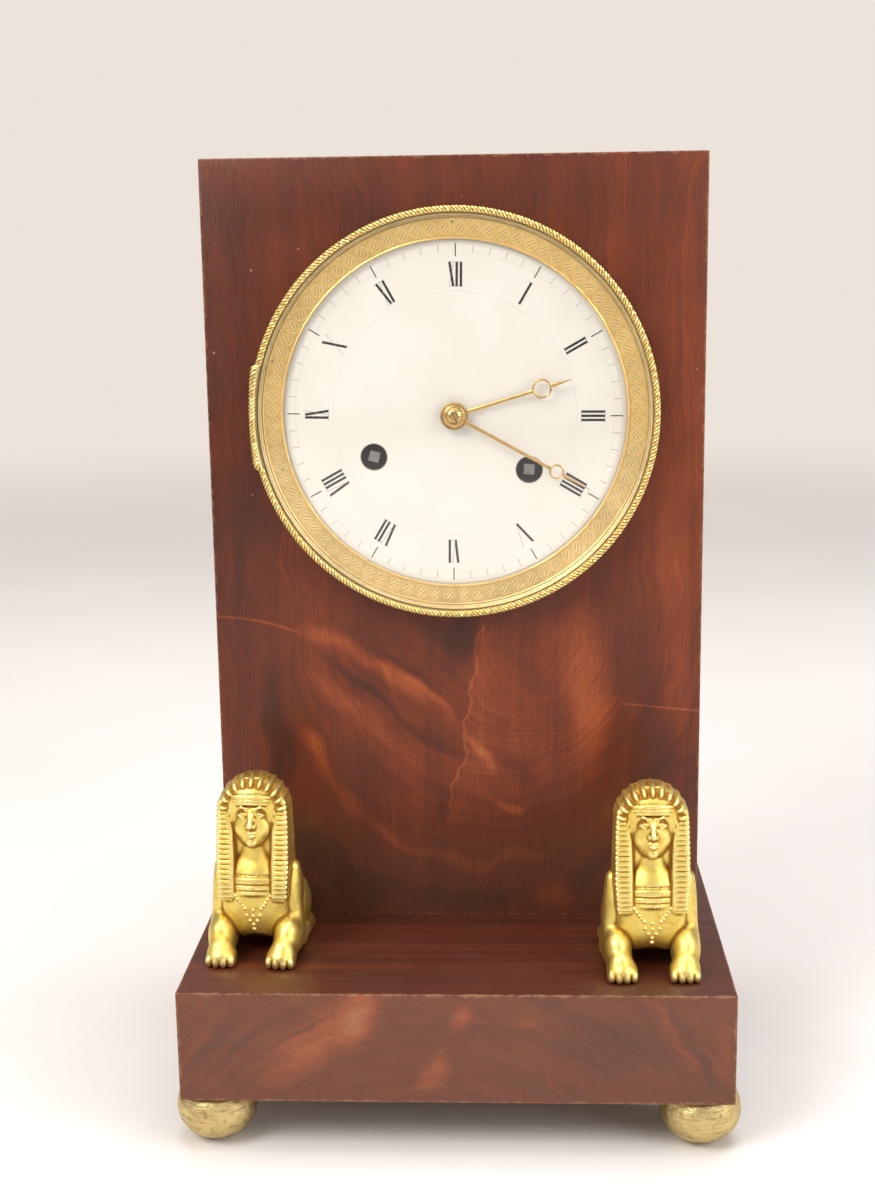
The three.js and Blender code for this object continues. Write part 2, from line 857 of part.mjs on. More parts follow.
place(
  movement,
  "minute_hand",
  hand({
    length: minuteHandLength,
    ringReach: minuteRingReach,
    ringRadius: minuteRingRadius,
    hubRadius: minuteHubRadius,
    bore: clearOf(shaftRadius),
    angle: minuteHandAngle,
    depth: minuteHandDepth,
  }),
  gilt,
);
const colletBack = -minuteHandDepth - seatGap;
place(
  movement,
  "hand_collet",
  turned(
    [
      [clearOf(shaftRadius), colletBack],
      [colletRadius, colletBack],
      [colletRadius, colletBack - colletHeight / 2],
      [colletRadius / 2, colletBack - colletHeight],
      [clearOf(shaftRadius), colletBack - colletHeight],
    ],
    roundSides,
  ),
  gilt,
);

// Plates and pillars
const going = barrels[1];
const striking = barrels[0];
const centre = [0, 0];
const pitch = (teeth, module) => (teeth * module) / 2;
const greatReach = pitch(greatTeeth, greatModule) + pitch(greatPinionTeeth, greatModule);
const secondReach = pitch(secondTeeth, secondModule) + pitch(secondPinionTeeth, secondModule);
const centreReach = pitch(centreTeeth, centreModule) + pitch(thirdPinionTeeth, centreModule);
const thirdReach = pitch(thirdTeeth, thirdModule) + pitch(escapePinionTeeth, thirdModule);
const escapeAt = [0, escapeRise];
const anchorAt = [0, anchorRise];
const intermediateAt = meetingPoint(centre, secondReach, going, greatReach, 1);
const thirdAt = meetingPoint(centre, centreReach, escapeAt, thirdReach, -1);
const strikeSecondAt = polar(greatReach, strikeSecondAngle * degree, ...striking);
const pinWheelAt = polar(secondReach, pinWheelAngle * degree, ...strikeSecondAt);
const hammerAt = [hammerArborX, hammerArborZ];
const arbors = [
  centre,
  intermediateAt,
  thirdAt,
  escapeAt,
  anchorAt,
  strikeSecondAt,
  pinWheelAt,
  hammerAt,
];
const throughPlates = ([x, z], radius) =>
  bar(x, z, clearOf(radius), frontPlateDepth - overrun, platesEnd + overrun, arborSides);
const windingHoles = barrels.map((at) => throughPlates(at, windingArborRadius));
const plateDisc = (from) => bar(0, 0, plateRadius, from, from + plateThickness, plateSides);
const motionStudAt = [0, motionDistance];
const motionStud = bar(
  ...motionStudAt,
  pivotRadius,
  frontPlateDepth - motionStudLength,
  frontPlateDepth + plateThickness / 2,
);
const pillarEnds = pillarAngles.map((angle) => polar(pillarCircle, angle * degree));
place(
  movement,
  "front_plate",
  join(
    cut(
      plateDisc(frontPlateDepth),
      ...arbors.slice(1).map((at) => throughPlates(at, pivotRadius)),
      throughPlates(centre, shaftRadius),
      ...windingHoles,
    ),
    motionStud,
  ),
  brass,
);
place(
  movement,
  "back_plate",
  cut(
    plateDisc(backPlateDepth),
    ...arbors.map((at) => throughPlates(at, pivotRadius)),
    ...windingHoles,
  ),
  brass,
);
pillarEnds.forEach(([x, z], i) => {
  const waist = pillarRadius - seatGap;
  const middle = frontPlateBack + plateSpacing / 2;
  const half = plateSpacing / 2 - seatGap;
  place(
    movement,
    `pillar_${i + 1}`,
    turned(
      [
        [0, middle - half],
        [pillarRadius, middle - half],
        [waist, middle - half / 2],
        [waist, middle + half / 2],
        [pillarRadius, middle + half],
        [0, middle + half],
      ],
      smallSides,
      x,
      z,
    ),
    brass,
  );
});

// Winding arbors with a square in front and a ratchet wheel
function ratchetShape([x, z]) {
  const shape = new THREE.Shape();
  for (let i = 0; i < ratchetTeeth; i += 1) {
    const step = turn / ratchetTeeth;
    const tip = polar(ratchetRadius, i * step, x, z);
    const root = polar(ratchetRadius - ratchetFall, i * step, x, z);
    if (i === 0) shape.moveTo(...tip);
    else shape.lineTo(...tip);
    shape.lineTo(...root);
  }
  return shape;
}
function windingArbor([x, z], squareTurn) {
  const length = frontPlateDepth - seatGap + squareDepth;
  const square = new THREE.BoxGeometry(windingSquare, length, windingSquare);
  square.rotateY(squareTurn * degree).translate(x, length / 2 - squareDepth, z);
  return join(
    solidOf(square),
    bar(x, z, windingArborRadius, frontPlateDepth - 2 * seatGap, platesEnd),
    plate(ratchetShape([x, z]), ratchetDepth, ratchetDepth + ratchetThickness),
  );
}
place(movement, "strike_winding_arbor", windingArbor(striking, strikeSquareTurn), steel);
place(movement, "going_winding_arbor", windingArbor(going, goingSquareTurn), steel);

// Barrels, each with its great wheel at the back, turning on the winding arbors
function barrel(at, angle) {
  const end = barrelDepth + barrelLength;
  return cut(
    join(
      bar(...at, barrelRadius, barrelDepth, end, roundSides),
      gear(at, greatTeeth, greatModule, angle, end, end + greatWheelThickness),
    ),
    bar(...at, clearOf(windingArborRadius), barrelDepth - overrun, end + greatWheelThickness + overrun),
  );
}
place(movement, "strike_barrel", barrel(striking, 0), brass);
place(movement, "going_barrel", barrel(going, 0), brass);

// An arbor with its pinion around one depth and its wheel at another
const greatWheelDepth = barrelDepth + barrelLength;
const pinionAt = (at, teeth, module, angle, depth, thickness) =>
  gear(at, teeth, module, angle, depth - pinionOverhang, depth + thickness + pinionOverhang);
const greatPinion = (at, angle) =>
  pinionAt(at, greatPinionTeeth, greatModule, angle, greatWheelDepth, greatWheelThickness);
const secondPinion = (at, angle) =>
  pinionAt(at, secondPinionTeeth, secondModule, angle, secondWheelDepth, wheelThickness);
const thirdPinion = (at, angle) =>
  pinionAt(at, thirdPinionTeeth, centreModule, angle, centreWheelDepth, wheelThickness);
const escapePinion = (at, angle) =>
  pinionAt(at, escapePinionTeeth, thirdModule, angle, thirdWheelDepth, wheelThickness);
const wheelAt = (at, teeth, module, angle, depth) =>
  gear(at, teeth, module, angle, depth, depth + wheelThickness);

// Going train. Each wheel is turned so that its teeth stand between its neighbour's.
const intermediatePinionAngle = meshingAngle(going, greatTeeth, 0, intermediateAt, greatPinionTeeth);
const centrePinionAngle = meshingAngle(intermediateAt, secondTeeth, 0, centre, secondPinionTeeth);
const thirdPinionAngle = meshingAngle(centre, centreTeeth, 0, thirdAt, thirdPinionTeeth);
const escapePinionAngle = meshingAngle(thirdAt, thirdTeeth, 0, escapeAt, escapePinionTeeth);
place(
  movement,
  "intermediate_wheel",
  join(
    arbor(intermediateAt),
    greatPinion(intermediateAt, intermediatePinionAngle),
    wheelAt(intermediateAt, secondTeeth, secondModule, 0, secondWheelDepth),
  ),
  brass,
);
const cannonModule = (2 * motionDistance) / (cannonTeeth + minuteTeeth);
const hourModule = (2 * motionDistance) / (minutePinionTeeth + hourTeeth);
const cannonDepth = frontPlateDepth - seatGap - wheelThickness - pinionOverhang;
const hourWheelDepth = cannonDepth - pinionOverhang - wheelThickness - seatGap;
const cannonAngle = 0;
const minuteWheelAngle = meshingAngle(centre, cannonTeeth, cannonAngle, motionStudAt, minuteTeeth);
const hourWheelAngle = meshingAngle(motionStudAt, minutePinionTeeth, 0, centre, hourTeeth);
const shaftFront = colletBack - colletHeight - seatGap;
place(
  movement,
  "centre_arbor",
  join(
    bar(0, 0, shaftRadius, shaftFront, backPlateDepth - arborGap),
    bar(0, 0, pivotRadius, backPlateDepth - arborGap - overrun, platesEnd),
    secondPinion(centre, centrePinionAngle),
    wheelAt(centre, centreTeeth, centreModule, 0, centreWheelDepth),
    wheelAt(centre, cannonTeeth, cannonModule, cannonAngle, cannonDepth),
  ),
  steel,
);
place(
  movement,
  "minute_wheel",
  cut(
    join(
      wheelAt(motionStudAt, minuteTeeth, cannonModule, minuteWheelAngle, cannonDepth),
      gear(
        motionStudAt,
        minutePinionTeeth,
        hourModule,
        0,
        hourWheelDepth - pinionOverhang / 2,
        cannonDepth + wheelThickness / 2,
      ),
    ),
    bar(...motionStudAt, clearOf(pivotRadius), 0, frontPlateDepth),
  ),
  brass,
);
place(
  movement,
  "hour_wheel",
  cut(
    join(
      wheelAt(centre, hourTeeth, hourModule, hourWheelAngle, hourWheelDepth),
      bar(0, 0, hourPipeRadius, -hourHandDepth, hourWheelDepth + wheelThickness),
    ),
    bar(0, 0, hourPipeBore, -hourHandDepth - overrun, frontPlateDepth),
  ),
  brass,
);
place(
  movement,
  "third_wheel",
  join(
    arbor(thirdAt),
    thirdPinion(thirdAt, thirdPinionAngle),
    wheelAt(thirdAt, thirdTeeth, thirdModule, 0, thirdWheelDepth),
  ),
  brass,
);

// Escape wheel with raked teeth, and the anchor above it with its crutch
function escapeShape([x, z]) {
  const shape = new THREE.Shape();
  for (let i = 0; i < escapeTeeth; i += 1) {
    const step = turn / escapeTeeth;
    const tip = polar(escapeRadius, i * step, x, z);
    const foot = polar(escapeRadius - escapeFall, (i + escapeRakeShare) * step, x, z);
    if (i === 0) shape.moveTo(...tip);
    else shape.lineTo(...tip);
    shape.lineTo(...foot);
  }
  return shape;
}
place(
  movement,
  "escape_wheel",
  join(
    arbor(escapeAt),
    escapePinion(escapeAt, escapePinionAngle),
    plate(escapeShape(escapeAt), escapeWheelDepth, escapeWheelDepth + wheelThickness),
  ),
  brass,
);
const crutchDepth = platesEnd + crutchGap;
const crutchBottom = anchorRise - crutchLength;
const palletGap = escapeRadius + anchorClearance;
const palletInner = Math.sqrt(palletGap ** 2 - (anchorRise - escapeRise - anchorDrop) ** 2);
const anchorArmX = palletInner * anchorArmShare;
const anchorArmZ = escapeRise + Math.sqrt(palletGap ** 2 - anchorArmX ** 2) + seatGap;
const anchorHalf = [
  [palletInner + anchorBody, anchorRise - anchorDrop + anchorBody / 2],
  [palletInner + anchorBody / 2, anchorRise - anchorDrop],
  [anchorArmX, anchorArmZ],
];
const anchorShape = new THREE.Shape(
  [
    [0, anchorRise + anchorBody],
    ...anchorHalf.map(([x, z]) => [-x, z]),
    [0, anchorRise - anchorBody],
    ...anchorHalf.slice().reverse(),
  ].map(([x, z]) => new THREE.Vector2(x, z)),
);
const forkInner = pendulumRodRadius + seatGap;
const forkOuter = forkInner + crutchThickness;
const forkBottom = crutchBottom - crutchThickness;
const forkTop = crutchBottom + crutchThickness;
const forkEnd = pendulumDepth + forkLength / 2;
const crutchBack = crutchDepth + crutchThickness;
const palletFront = escapeWheelDepth - pinionOverhang;
const palletBack = escapeWheelDepth + wheelThickness + pinionOverhang;
const halfCrutch = crutchWidth / 2;
place(
  movement,
  "anchor",
  join(
    arbor(anchorAt, crutchBack),
    plate(anchorShape, palletFront, palletBack),
    block(-halfCrutch, halfCrutch, crutchDepth, crutchBack, crutchBottom, anchorRise + halfCrutch),
    block(-forkOuter, forkOuter, crutchDepth, crutchBack, forkBottom, forkTop),
    block(-forkOuter, -forkInner, crutchDepth, forkEnd, forkBottom, forkTop),
    block(forkInner, forkOuter, crutchDepth, forkEnd, forkBottom, forkTop),
  ),
  steel,
);

// Suspension cock with a pin in line with the anchor, and the pendulum that hangs on it
const eyeInner = clearOf(cockPinRadius, seatGap);
const eyeOuter = eyeInner + eyeWall;
const eyeHalf = pendulumRodRadius;
const cockFrom = platesEnd + seatGap;
const cockBottom = anchorRise + eyeOuter + seatGap;
const cockShelf = cockBottom + cockCheek;
const cockBack = pendulumDepth + eyeHalf + seatGap + cockCheek;
const cockHalf = cockWidth / 2;
const cheekHalf = cockHalf / 2;
const cheekFoot = anchorRise - cockCheek;
place(
  movement,
  "suspension_cock",
  join(
    block(-cockHalf, cockHalf, cockFrom, cockFrom + cockCheek, cockBottom, cockBottom + cockHeight),
    block(-cheekHalf, cheekHalf, cockFrom, cockBack, cockBottom, cockShelf),
    block(-cheekHalf, cheekHalf, cockBack - cockCheek, cockBack, cheekFoot, cockShelf),
    bar(0, anchorRise, cockPinRadius, pendulumDepth - eyeHalf, cockBack),
  ),
  brass,
);
const bobZ = anchorRise - pendulumLength;
const uprightRod = (from, to, radius) => {
  const rod = new THREE.CylinderGeometry(radius, radius, to - from, smallSides);
  return solidOf(rod.rotateX(Math.PI / 2).translate(0, pendulumDepth, (from + to) / 2));
};
const rodEnd = bobZ - bobRadius - rodTail;
const eyeFront = pendulumDepth - eyeHalf;
const eyeBack = pendulumDepth + eyeHalf;
place(
  movement,
  "pendulum_rod",
  cut(
    join(
      uprightRod(rodEnd, anchorRise - eyeInner, pendulumRodRadius),
      bar(0, anchorRise, eyeOuter, eyeFront, eyeBack),
    ),
    bar(0, anchorRise, eyeInner, eyeFront - overrun, eyeBack + overrun),
  ),
  steel,
);
const lensShares = [0, 0.45, 0.8, 1];
const lensFace = (side) =>
  lensShares.map((share) => [
    share * bobRadius,
    pendulumDepth + side * (bobThickness / 2) * (1 - bobCurveShare * share ** 2),
  ]);
const rodRoom = uprightRod(
  rodEnd - overrun,
  bobZ + bobRadius + overrun,
  clearOf(pendulumRodRadius),
);
place(
  movement,
  "pendulum_bob",
  cut(turned([...lensFace(-1), ...lensFace(1).reverse()], roundSides, 0, bobZ), rodRoom),
  brass,
);

// Strike train: the second arbor carries the count wheel behind the back plate
const strikePinionAngle = meshingAngle(striking, greatTeeth, 0, strikeSecondAt, greatPinionTeeth);
const pinPinionAngle = meshingAngle(strikeSecondAt, secondTeeth, 0, pinWheelAt, secondPinionTeeth);
const countWheelFrom = platesEnd + countWheelGap;
const countWheelTo = countWheelFrom + countWheelThickness;
place(
  movement,
  "strike_second_wheel",
  join(
    arbor(strikeSecondAt, countWheelTo + arborGap),
    greatPinion(strikeSecondAt, strikePinionAngle),
    wheelAt(strikeSecondAt, secondTeeth, secondModule, 0, secondWheelDepth),
  ),
  brass,
);
// The slots stand after 1, 2, 3 ... strokes, so the steps between them grow
const strokes = (countSlots * (countSlots + 1)) / 2;
const countNotches = Array.from({ length: countSlots }, (_, i) => {
  const done = ((i + 1) * (i + 2)) / 2;
  const [x, z] = polar(countWheelRadius, (done / strokes) * turn, ...strikeSecondAt);
  return bar(x, z, countNotchRadius, countWheelFrom - overrun, countWheelTo + overrun, notchSides);
});
place(
  movement,
  "count_wheel",
  cut(
    bar(...strikeSecondAt, countWheelRadius, countWheelFrom, countWheelTo, plateSides),
    bar(
      ...strikeSecondAt,
      clearOf(pivotRadius, runGap / 2),
      countWheelFrom - overrun,
      countWheelTo + overrun,
    ),
    ...countNotches,
  ),
  brass,
);
const pinCircle = pitch(pinTeeth, thirdModule) - 2 * liftPinRadius;
const pinFrom = pinWheelDepth + wheelThickness / 2;
const pinTo = pinWheelDepth + wheelThickness + liftPinLength;
const pins = Array.from({ length: liftPins }, (_, i) => {
  const [x, z] = polar(pinCircle, (i * turn) / liftPins, ...pinWheelAt);
  return bar(x, z, liftPinRadius, pinFrom, pinTo, arborSides);
});
place(
  movement,
  "pin_wheel",
  join(
    arbor(pinWheelAt),
    secondPinion(pinWheelAt, pinPinionAngle),
    wheelAt(pinWheelAt, pinTeeth, thirdModule, 0, pinWheelDepth),
    ...pins,
  ),
  brass,
);

// Hammer: an arbor through the plates, a tail near the lifting pins, and an arm that reaches the bell
const bellMouth = platesEnd + bellMouthGap;
const hammerArmDepth = platesEnd + hammerArmGap;
const hammerArmBack = hammerArmDepth + wheelThickness;
const tailFrom = pinWheelDepth + wheelThickness + liftPinRadius;
const headDepth = bellMouth + hammerHeadRadius;
const [headX, headZ] = polar(hammerLength, hammerAngle * degree, ...hammerAt);
function hammerBar(length, width, angle, from, to) {
  const shape = new THREE.Shape([
    new THREE.Vector2(0, -width / 2),
    new THREE.Vector2(length, -width / 2),
    new THREE.Vector2(length, width / 2),
    new THREE.Vector2(0, width / 2),
  ]);
  return plate(shape, from, to).rotate([0, -angle, 0]).translate([hammerArborX, 0, hammerArborZ]);
}
const tailLine = Math.atan2(pinWheelAt[1] - hammerArborZ, pinWheelAt[0] - hammerArborX) / degree;
const headTilt = (hammerAngle - 180) * degree;
const head = new THREE.CylinderGeometry(hammerHeadRadius, hammerHeadRadius, hammerHeadLength, roundSides);
head.rotateZ(Math.PI / 2).rotateY(Math.PI / 2 - headTilt).translate(headX, headDepth, headZ);
place(
  movement,
  "hammer",
  join(
    arbor(hammerAt, hammerArmBack),
    hammerBar(hammerTailLength, hammerArmWidth, tailLine, tailFrom, pinTo),
    hammerBar(hammerLength, hammerArmWidth, hammerAngle, hammerArmDepth, hammerArmBack),
    bar(headX, headZ, hammerArmWidth / 2, hammerArmDepth, headDepth),
    solidOf(head),
  ),
  steel,
);

// Bell and the stand that carries it past the pendulum
const bellShares = [0, 0.2, 0.45, 0.75, 1];
const bellCurve = (radius, depth) =>
  bellShares.map((share) => [
    radius * Math.cos((share * Math.PI) / 2),
    bellMouth + depth * Math.sin((share * Math.PI) / 2),
  ]);
const bellTop = bellMouth + bellDepth;
place(
  movement,
  "bell",
  cut(
    turned(
      [
        [0, bellTop - bellWall],
        ...bellCurve(bellRadius - bellWall, bellDepth - bellWall).slice(0, -1).reverse(),
        ...bellCurve(bellRadius, bellDepth).slice(0, -1),
        [0, bellTop],
      ],
      plateSides,
    ),
    bar(0, 0, clearOf(bellPostRadius / 2, runGap), bellMouth, bellTop + overrun),
  ),
  steel,
);
const standArm = bellMouth - bellPostRadius;
const bellNutFrom = bellTop + seatGap;
place(
  movement,
  "bell_stand",
  join(
    bar(bellPostOffset, 0, bellPostRadius, platesEnd + seatGap, bellMouth),
    block(0, bellPostOffset, standArm, bellMouth, -bellPostRadius, bellPostRadius),
    bar(0, 0, bellPostRadius, standArm, bellTop - bellWall - seatGap),
    bar(0, 0, bellPostRadius / 2, standArm, bellNutFrom + bellPostRadius + seatGap),
    bar(0, 0, bellPostRadius + bellWall, bellNutFrom, bellNutFrom + bellPostRadius, arborSides),
  ),
  brass,
);

// Rear bezel: flange on the back board, sleeve through it, and a lip that takes the strap screws
const rearFace = caseDepth;
const rearSleeveOuter = rearHoleRadius - seatGap;
const rearSleeveInner = rearSleeveOuter - sleeveWall;
const rearLipInner = rearSleeveInner - rearLipReach;
const rearLipBack = rearFace - rearSleeveLength;
const rearFlangeBack = rearFace + seatGap + rearFlangeThickness;
const strapLines = [strapAngle, 180 - strapAngle];
const aroundAxis = (solid, angle) => solid.rotate([0, -angle, 0]);
const screwReach = strapRadius - strapThickness / 2;
const screwAt = (radius, from, to, sides = smallSides) => bar(screwReach, 0, radius, from, to, sides);
const screwHole = screwAt(clearOf(screwRadius), rearLipBack - overrun, rearLipBack + overrun);
const doorHingeDepth = rearFlangeBack + seatGap + knuckleRadius;
const doorKnuckle = (from, to, radius) => {
  const tube = new THREE.CylinderGeometry(radius, radius, to - from, smallSides);
  return solidOf(tube.rotateX(Math.PI / 2).translate(-doorHingeReach, doorHingeDepth, (from + to) / 2));
};
const doorPinHole = doorKnuckle(-halfHinge - overrun, halfHinge + overrun, clearOf(hingePinRadius));
place(
  movement,
  "rear_bezel",
  cut(
    join(
      turned(
        [
          [rearSleeveInner, rearFlangeBack],
          [rearFlangeRadius, rearFlangeBack],
          [rearFlangeRadius, rearFace + seatGap],
          [rearSleeveOuter, rearFace + seatGap],
          [rearSleeveOuter, rearLipBack],
          [rearLipInner, rearLipBack],
          [rearLipInner, rearLipBack + rearFlangeThickness],
          [rearSleeveInner, rearLipBack + rearFlangeThickness],
        ],
        plateSides,
      ),
      doorKnuckle(-halfFixed, halfFixed, knuckleRadius),
      block(
        -doorHingeReach - knuckleRadius / 2,
        -doorHingeReach + knuckleRadius / 2,
        rearFlangeBack - rearFlangeThickness / 2,
        doorHingeDepth,
        -halfFixed,
        halfFixed,
      ),
    ),
    doorPinHole,
    ...strapLines.map((angle) => aroundAxis(screwHole, angle)),
  ),
  brass,
);

// Rear door: a rim with a rebate for flat glass, hinged beside the flange
const doorFront = rearFlangeBack + seatGap;
const rebateRadius = doorInnerRadius + 2 * doorRebate;
const doorBack = doorFront + doorThickness;
const doorLeafInner = -Math.sqrt(doorOuterRadius ** 2 - halfHinge ** 2) + doorRebate;
const doorKnuckles = [
  [movingFrom, halfHinge],
  [-halfHinge, -movingFrom],
].map(([from, to]) =>
  join(
    doorKnuckle(from, to, knuckleRadius),
    block(-doorHingeReach, doorLeafInner, doorBack - doorRebate, doorBack, from, to),
  ),
);
place(
  movement,
  "rear_door",
  cut(
    join(
      turned(
        [
          [doorInnerRadius, doorBack],
          [doorInnerRadius, doorBack - doorRebate],
          [rebateRadius, doorBack - doorRebate],
          [rebateRadius, doorFront],
          [doorOuterRadius, doorFront],
          [doorOuterRadius, doorBack],
        ],
        plateSides,
      ),
      ...doorKnuckles,
    ),
    doorKnuckle(-halfFixed - seatGap, halfFixed + seatGap, knuckleRadius + seatGap),
    doorPinHole,
  ),
  brass,
);
const doorGlassBack = doorBack - doorRebate - seatGap / 2;
const doorGlassFront = doorGlassBack - doorGlassThickness;
place(
  movement,
  "rear_door_glass",
  bar(0, 0, rebateRadius - glassFit, doorGlassFront, doorGlassBack, plateSides),
  glass,
);
place(movement, "rear_hinge_pin", doorKnuckle(-halfHinge, halfHinge, hingePinRadius), brass);

// Straps from the bezel seat to the rear bezel, and the long screws that pull them together
const strapEnd = rearLipBack - strapScrewGap;
const strapBlockFrom = strapEnd - strapBlockLength;
const strapInner = strapRadius - strapThickness;
function strap(angle) {
  const half = strapWidth / 2;
  const footBack = strapFootDepth + strapThickness;
  const blockInner = screwReach - strapBlockThickness / 2;
  const blockOuter = screwReach + strapBlockThickness / 2;
  const solid = cut(
    join(
      block(strapInner, strapRadius, strapFootDepth, strapEnd, -half, half),
      block(strapInner, strapRadius + strapFootReach, strapFootDepth, footBack, -half, half),
      block(blockInner, blockOuter, strapBlockFrom, strapEnd, -half, half),
    ),
    screwAt(clearOf(screwRadius), strapBlockFrom - overrun, strapEnd + overrun),
  );
  return aroundAxis(solid, angle);
}
function strapScrew(angle) {
  const seat = rearLipBack + rearFlangeThickness + seatGap;
  const headEnd = seat + screwHeadHeight;
  const slotFrom = seat + screwHeadHeight / 2;
  const slotReach = screwHeadRadius + overrun;
  const slot = block(
    screwReach - slotReach,
    screwReach + slotReach,
    slotFrom,
    headEnd + overrun,
    -screwSlot / 2,
    screwSlot / 2,
  );
  const solid = cut(
    join(
      screwAt(screwRadius, strapBlockFrom - overrun, slotFrom),
      screwAt(screwHeadRadius, seat, headEnd, roundSides),
    ),
    slot,
  );
  return aroundAxis(solid, angle);
}
["right", "left"].forEach((side, i) => {
  place(movement, `strap_${side}`, strap(strapLines[i]), brass);
  place(movement, `strap_screw_${side}`, strapScrew(strapLines[i]), steel);
});

export default clock;
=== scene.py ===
import math

import bmesh
import bpy
import numpy as np
from mathutils import Matrix, Vector


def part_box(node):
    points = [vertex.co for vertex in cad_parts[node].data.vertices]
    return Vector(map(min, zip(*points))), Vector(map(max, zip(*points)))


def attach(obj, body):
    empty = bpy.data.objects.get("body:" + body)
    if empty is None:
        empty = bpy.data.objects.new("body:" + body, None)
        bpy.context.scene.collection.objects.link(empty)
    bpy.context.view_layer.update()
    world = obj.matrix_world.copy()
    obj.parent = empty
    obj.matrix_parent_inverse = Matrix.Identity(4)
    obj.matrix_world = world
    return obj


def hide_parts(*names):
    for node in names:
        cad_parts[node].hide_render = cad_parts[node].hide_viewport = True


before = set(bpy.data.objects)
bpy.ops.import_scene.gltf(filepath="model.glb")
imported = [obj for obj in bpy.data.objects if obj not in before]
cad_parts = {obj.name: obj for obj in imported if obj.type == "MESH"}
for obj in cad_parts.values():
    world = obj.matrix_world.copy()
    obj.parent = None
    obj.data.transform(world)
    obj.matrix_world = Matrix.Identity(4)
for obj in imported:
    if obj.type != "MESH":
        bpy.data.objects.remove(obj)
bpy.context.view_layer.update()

mm = 0.001
fullTurn = 2 * math.pi
quarter = math.pi / 2
print("stage: frame loaded")


# places that everything else is measured from
def middleOf(node):
    low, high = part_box(node)
    return (low + high) / 2


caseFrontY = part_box("case_front")[0].y
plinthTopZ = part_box("plinth_top")[1].z
dialCentre = middleOf("enamel_dial")
dialCentre.y = caseFrontY


def fromDial(x=0.0, y=0.0, z=0.0):
    # a spot in millimetres from the dial's middle, on the plane of the case front
    return dialCentre + Vector((x, y, z)) * mm


# meshes
def linked(name, data):
    made = bpy.data.objects.new(name, data)
    bpy.context.scene.collection.objects.link(made)
    return made


def newPiece(name, points, faces, smooth=True, material=None):
    mesh = bpy.data.meshes.new(name)
    mesh.from_pydata([tuple(p) for p in points], [], [tuple(f) for f in faces])
    mesh.validate()
    if material:
        mesh.materials.append(material)
    piece = linked(name, mesh)
    shade(piece, smooth)
    return piece


def shade(piece, smooth=True, angle=35):
    mesh = piece.data
    mesh.polygons.foreach_set("use_smooth", [smooth] * len(mesh.polygons))
    if smooth and angle:
        mesh.set_sharp_from_angle(angle=math.radians(angle))
    mesh.update()


def bake(piece):
    # what the modifiers make, as a plain mesh under the same name
    bpy.context.view_layer.update()
    graph = bpy.context.evaluated_depsgraph_get()
    made = bpy.data.meshes.new_from_object(piece.evaluated_get(graph), depsgraph=graph)
    piece.modifiers.clear()
    piece.data = made
    return piece


def joinPieces(name, pieces):
    joined = bmesh.new()
    materials = []
    for piece in pieces:
        offset = len(joined.faces)
        slots = []
        for material in piece.data.materials:
            if material not in materials:
                materials.append(material)
            slots.append(materials.index(material))
        joined.from_mesh(piece.data)
        joined.faces.ensure_lookup_table()
        for face in joined.faces[offset:]:
            face.material_index = slots[face.material_index] if slots else 0
        bpy.data.objects.remove(piece)
    mesh = bpy.data.meshes.new(name)
    joined.to_mesh(mesh)
    joined.free()
    for material in materials:
        mesh.materials.append(material)
    return linked(name, mesh)


def reworked(piece, change):
    mesh = bmesh.new()
    mesh.from_mesh(piece.data)
    change(mesh)
    mesh.to_mesh(piece.data)
    mesh.free()
    return piece


def outward(piece):
    def change(mesh):
        bmesh.ops.remove_doubles(mesh, verts=mesh.verts, dist=1e-7)
        bmesh.ops.recalc_face_normals(mesh, faces=mesh.faces)
    return reworked(piece, change)


def turnedPiece(name, profile, sides, centre=dialCentre, axis="y", angle=35, material=None):
    # profile lists (radius, distance along the axis) in millimetres, closed on itself or on the axis
    profile = [(r * mm, y * mm) for r, y in profile]
    rings = []
    points = []
    for radius, along in profile:
        if radius < 1e-9:
            rings.append([len(points)] * sides)
            points.append((0, along, 0))
            continue
        rings.append(list(range(len(points), len(points) + sides)))
        for i in range(sides):
            a = fullTurn * i / sides
            points.append((radius * math.cos(a), along, radius * math.sin(a)))
    closed = profile[0][0] > 1e-9
    faces = []
    for one, two in zip(rings, rings[1:] + ([rings[0]] if closed else [])):
        for i in range(sides):
            j = (i + 1) % sides
            # at the axis two corners are one point, and the face is a triangle
            face = list(dict.fromkeys((one[i], two[i], two[j], one[j])))
            if len(face) > 2:
                faces.append(face)
    if axis == "z":
        points = [(x, -z, y) for x, y, z in points]
    points = [Vector(p) + Vector(centre) for p in points]
    piece = outward(newPiece(name, points, faces, material=material))
    shade(piece, angle=angle)
    return piece


def boxPiece(name, low, high, bevel=0.0, material=None):
    xs, ys, zs = zip(low, high)
    points = [(x, y, z) for x in xs for y in ys for z in zs]
    faces = [(0, 1, 3, 2), (4, 6, 7, 5), (0, 4, 5, 1), (2, 3, 7, 6), (0, 2, 6, 4), (1, 5, 7, 3)]
    piece = outward(newPiece(name, points, faces, smooth=False, material=material))
    if bevel:
        rounder = piece.modifiers.new("bevel", "BEVEL")
        rounder.width = bevel
        rounder.segments = 2
        rounder.limit_method = "ANGLE"
        rounder.angle_limit = math.radians(30)
        rounder.harden_normals = False
        shade(bake(piece))
    return piece


def sliced(piece, tool):
    cutter = piece.modifiers.new("cut", "BOOLEAN")
    cutter.operation = "DIFFERENCE"
    cutter.solver = "EXACT"
    cutter.object = tool
    made = bake(piece)
    bpy.data.objects.remove(tool)
    return made


def finishPiece(piece, body, material=None, nodes=()):
    if material:
        piece.data.materials.clear()
        piece.data.materials.append(material)
    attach(piece, body)
    if nodes:
        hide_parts(*nodes)
    return piece


def assemble(name, parts, angle, body, nodes=(), material=None):
    whole = joinPieces(name, parts)
    shade(whole, angle=angle)
    finishPiece(whole, body, material, nodes)


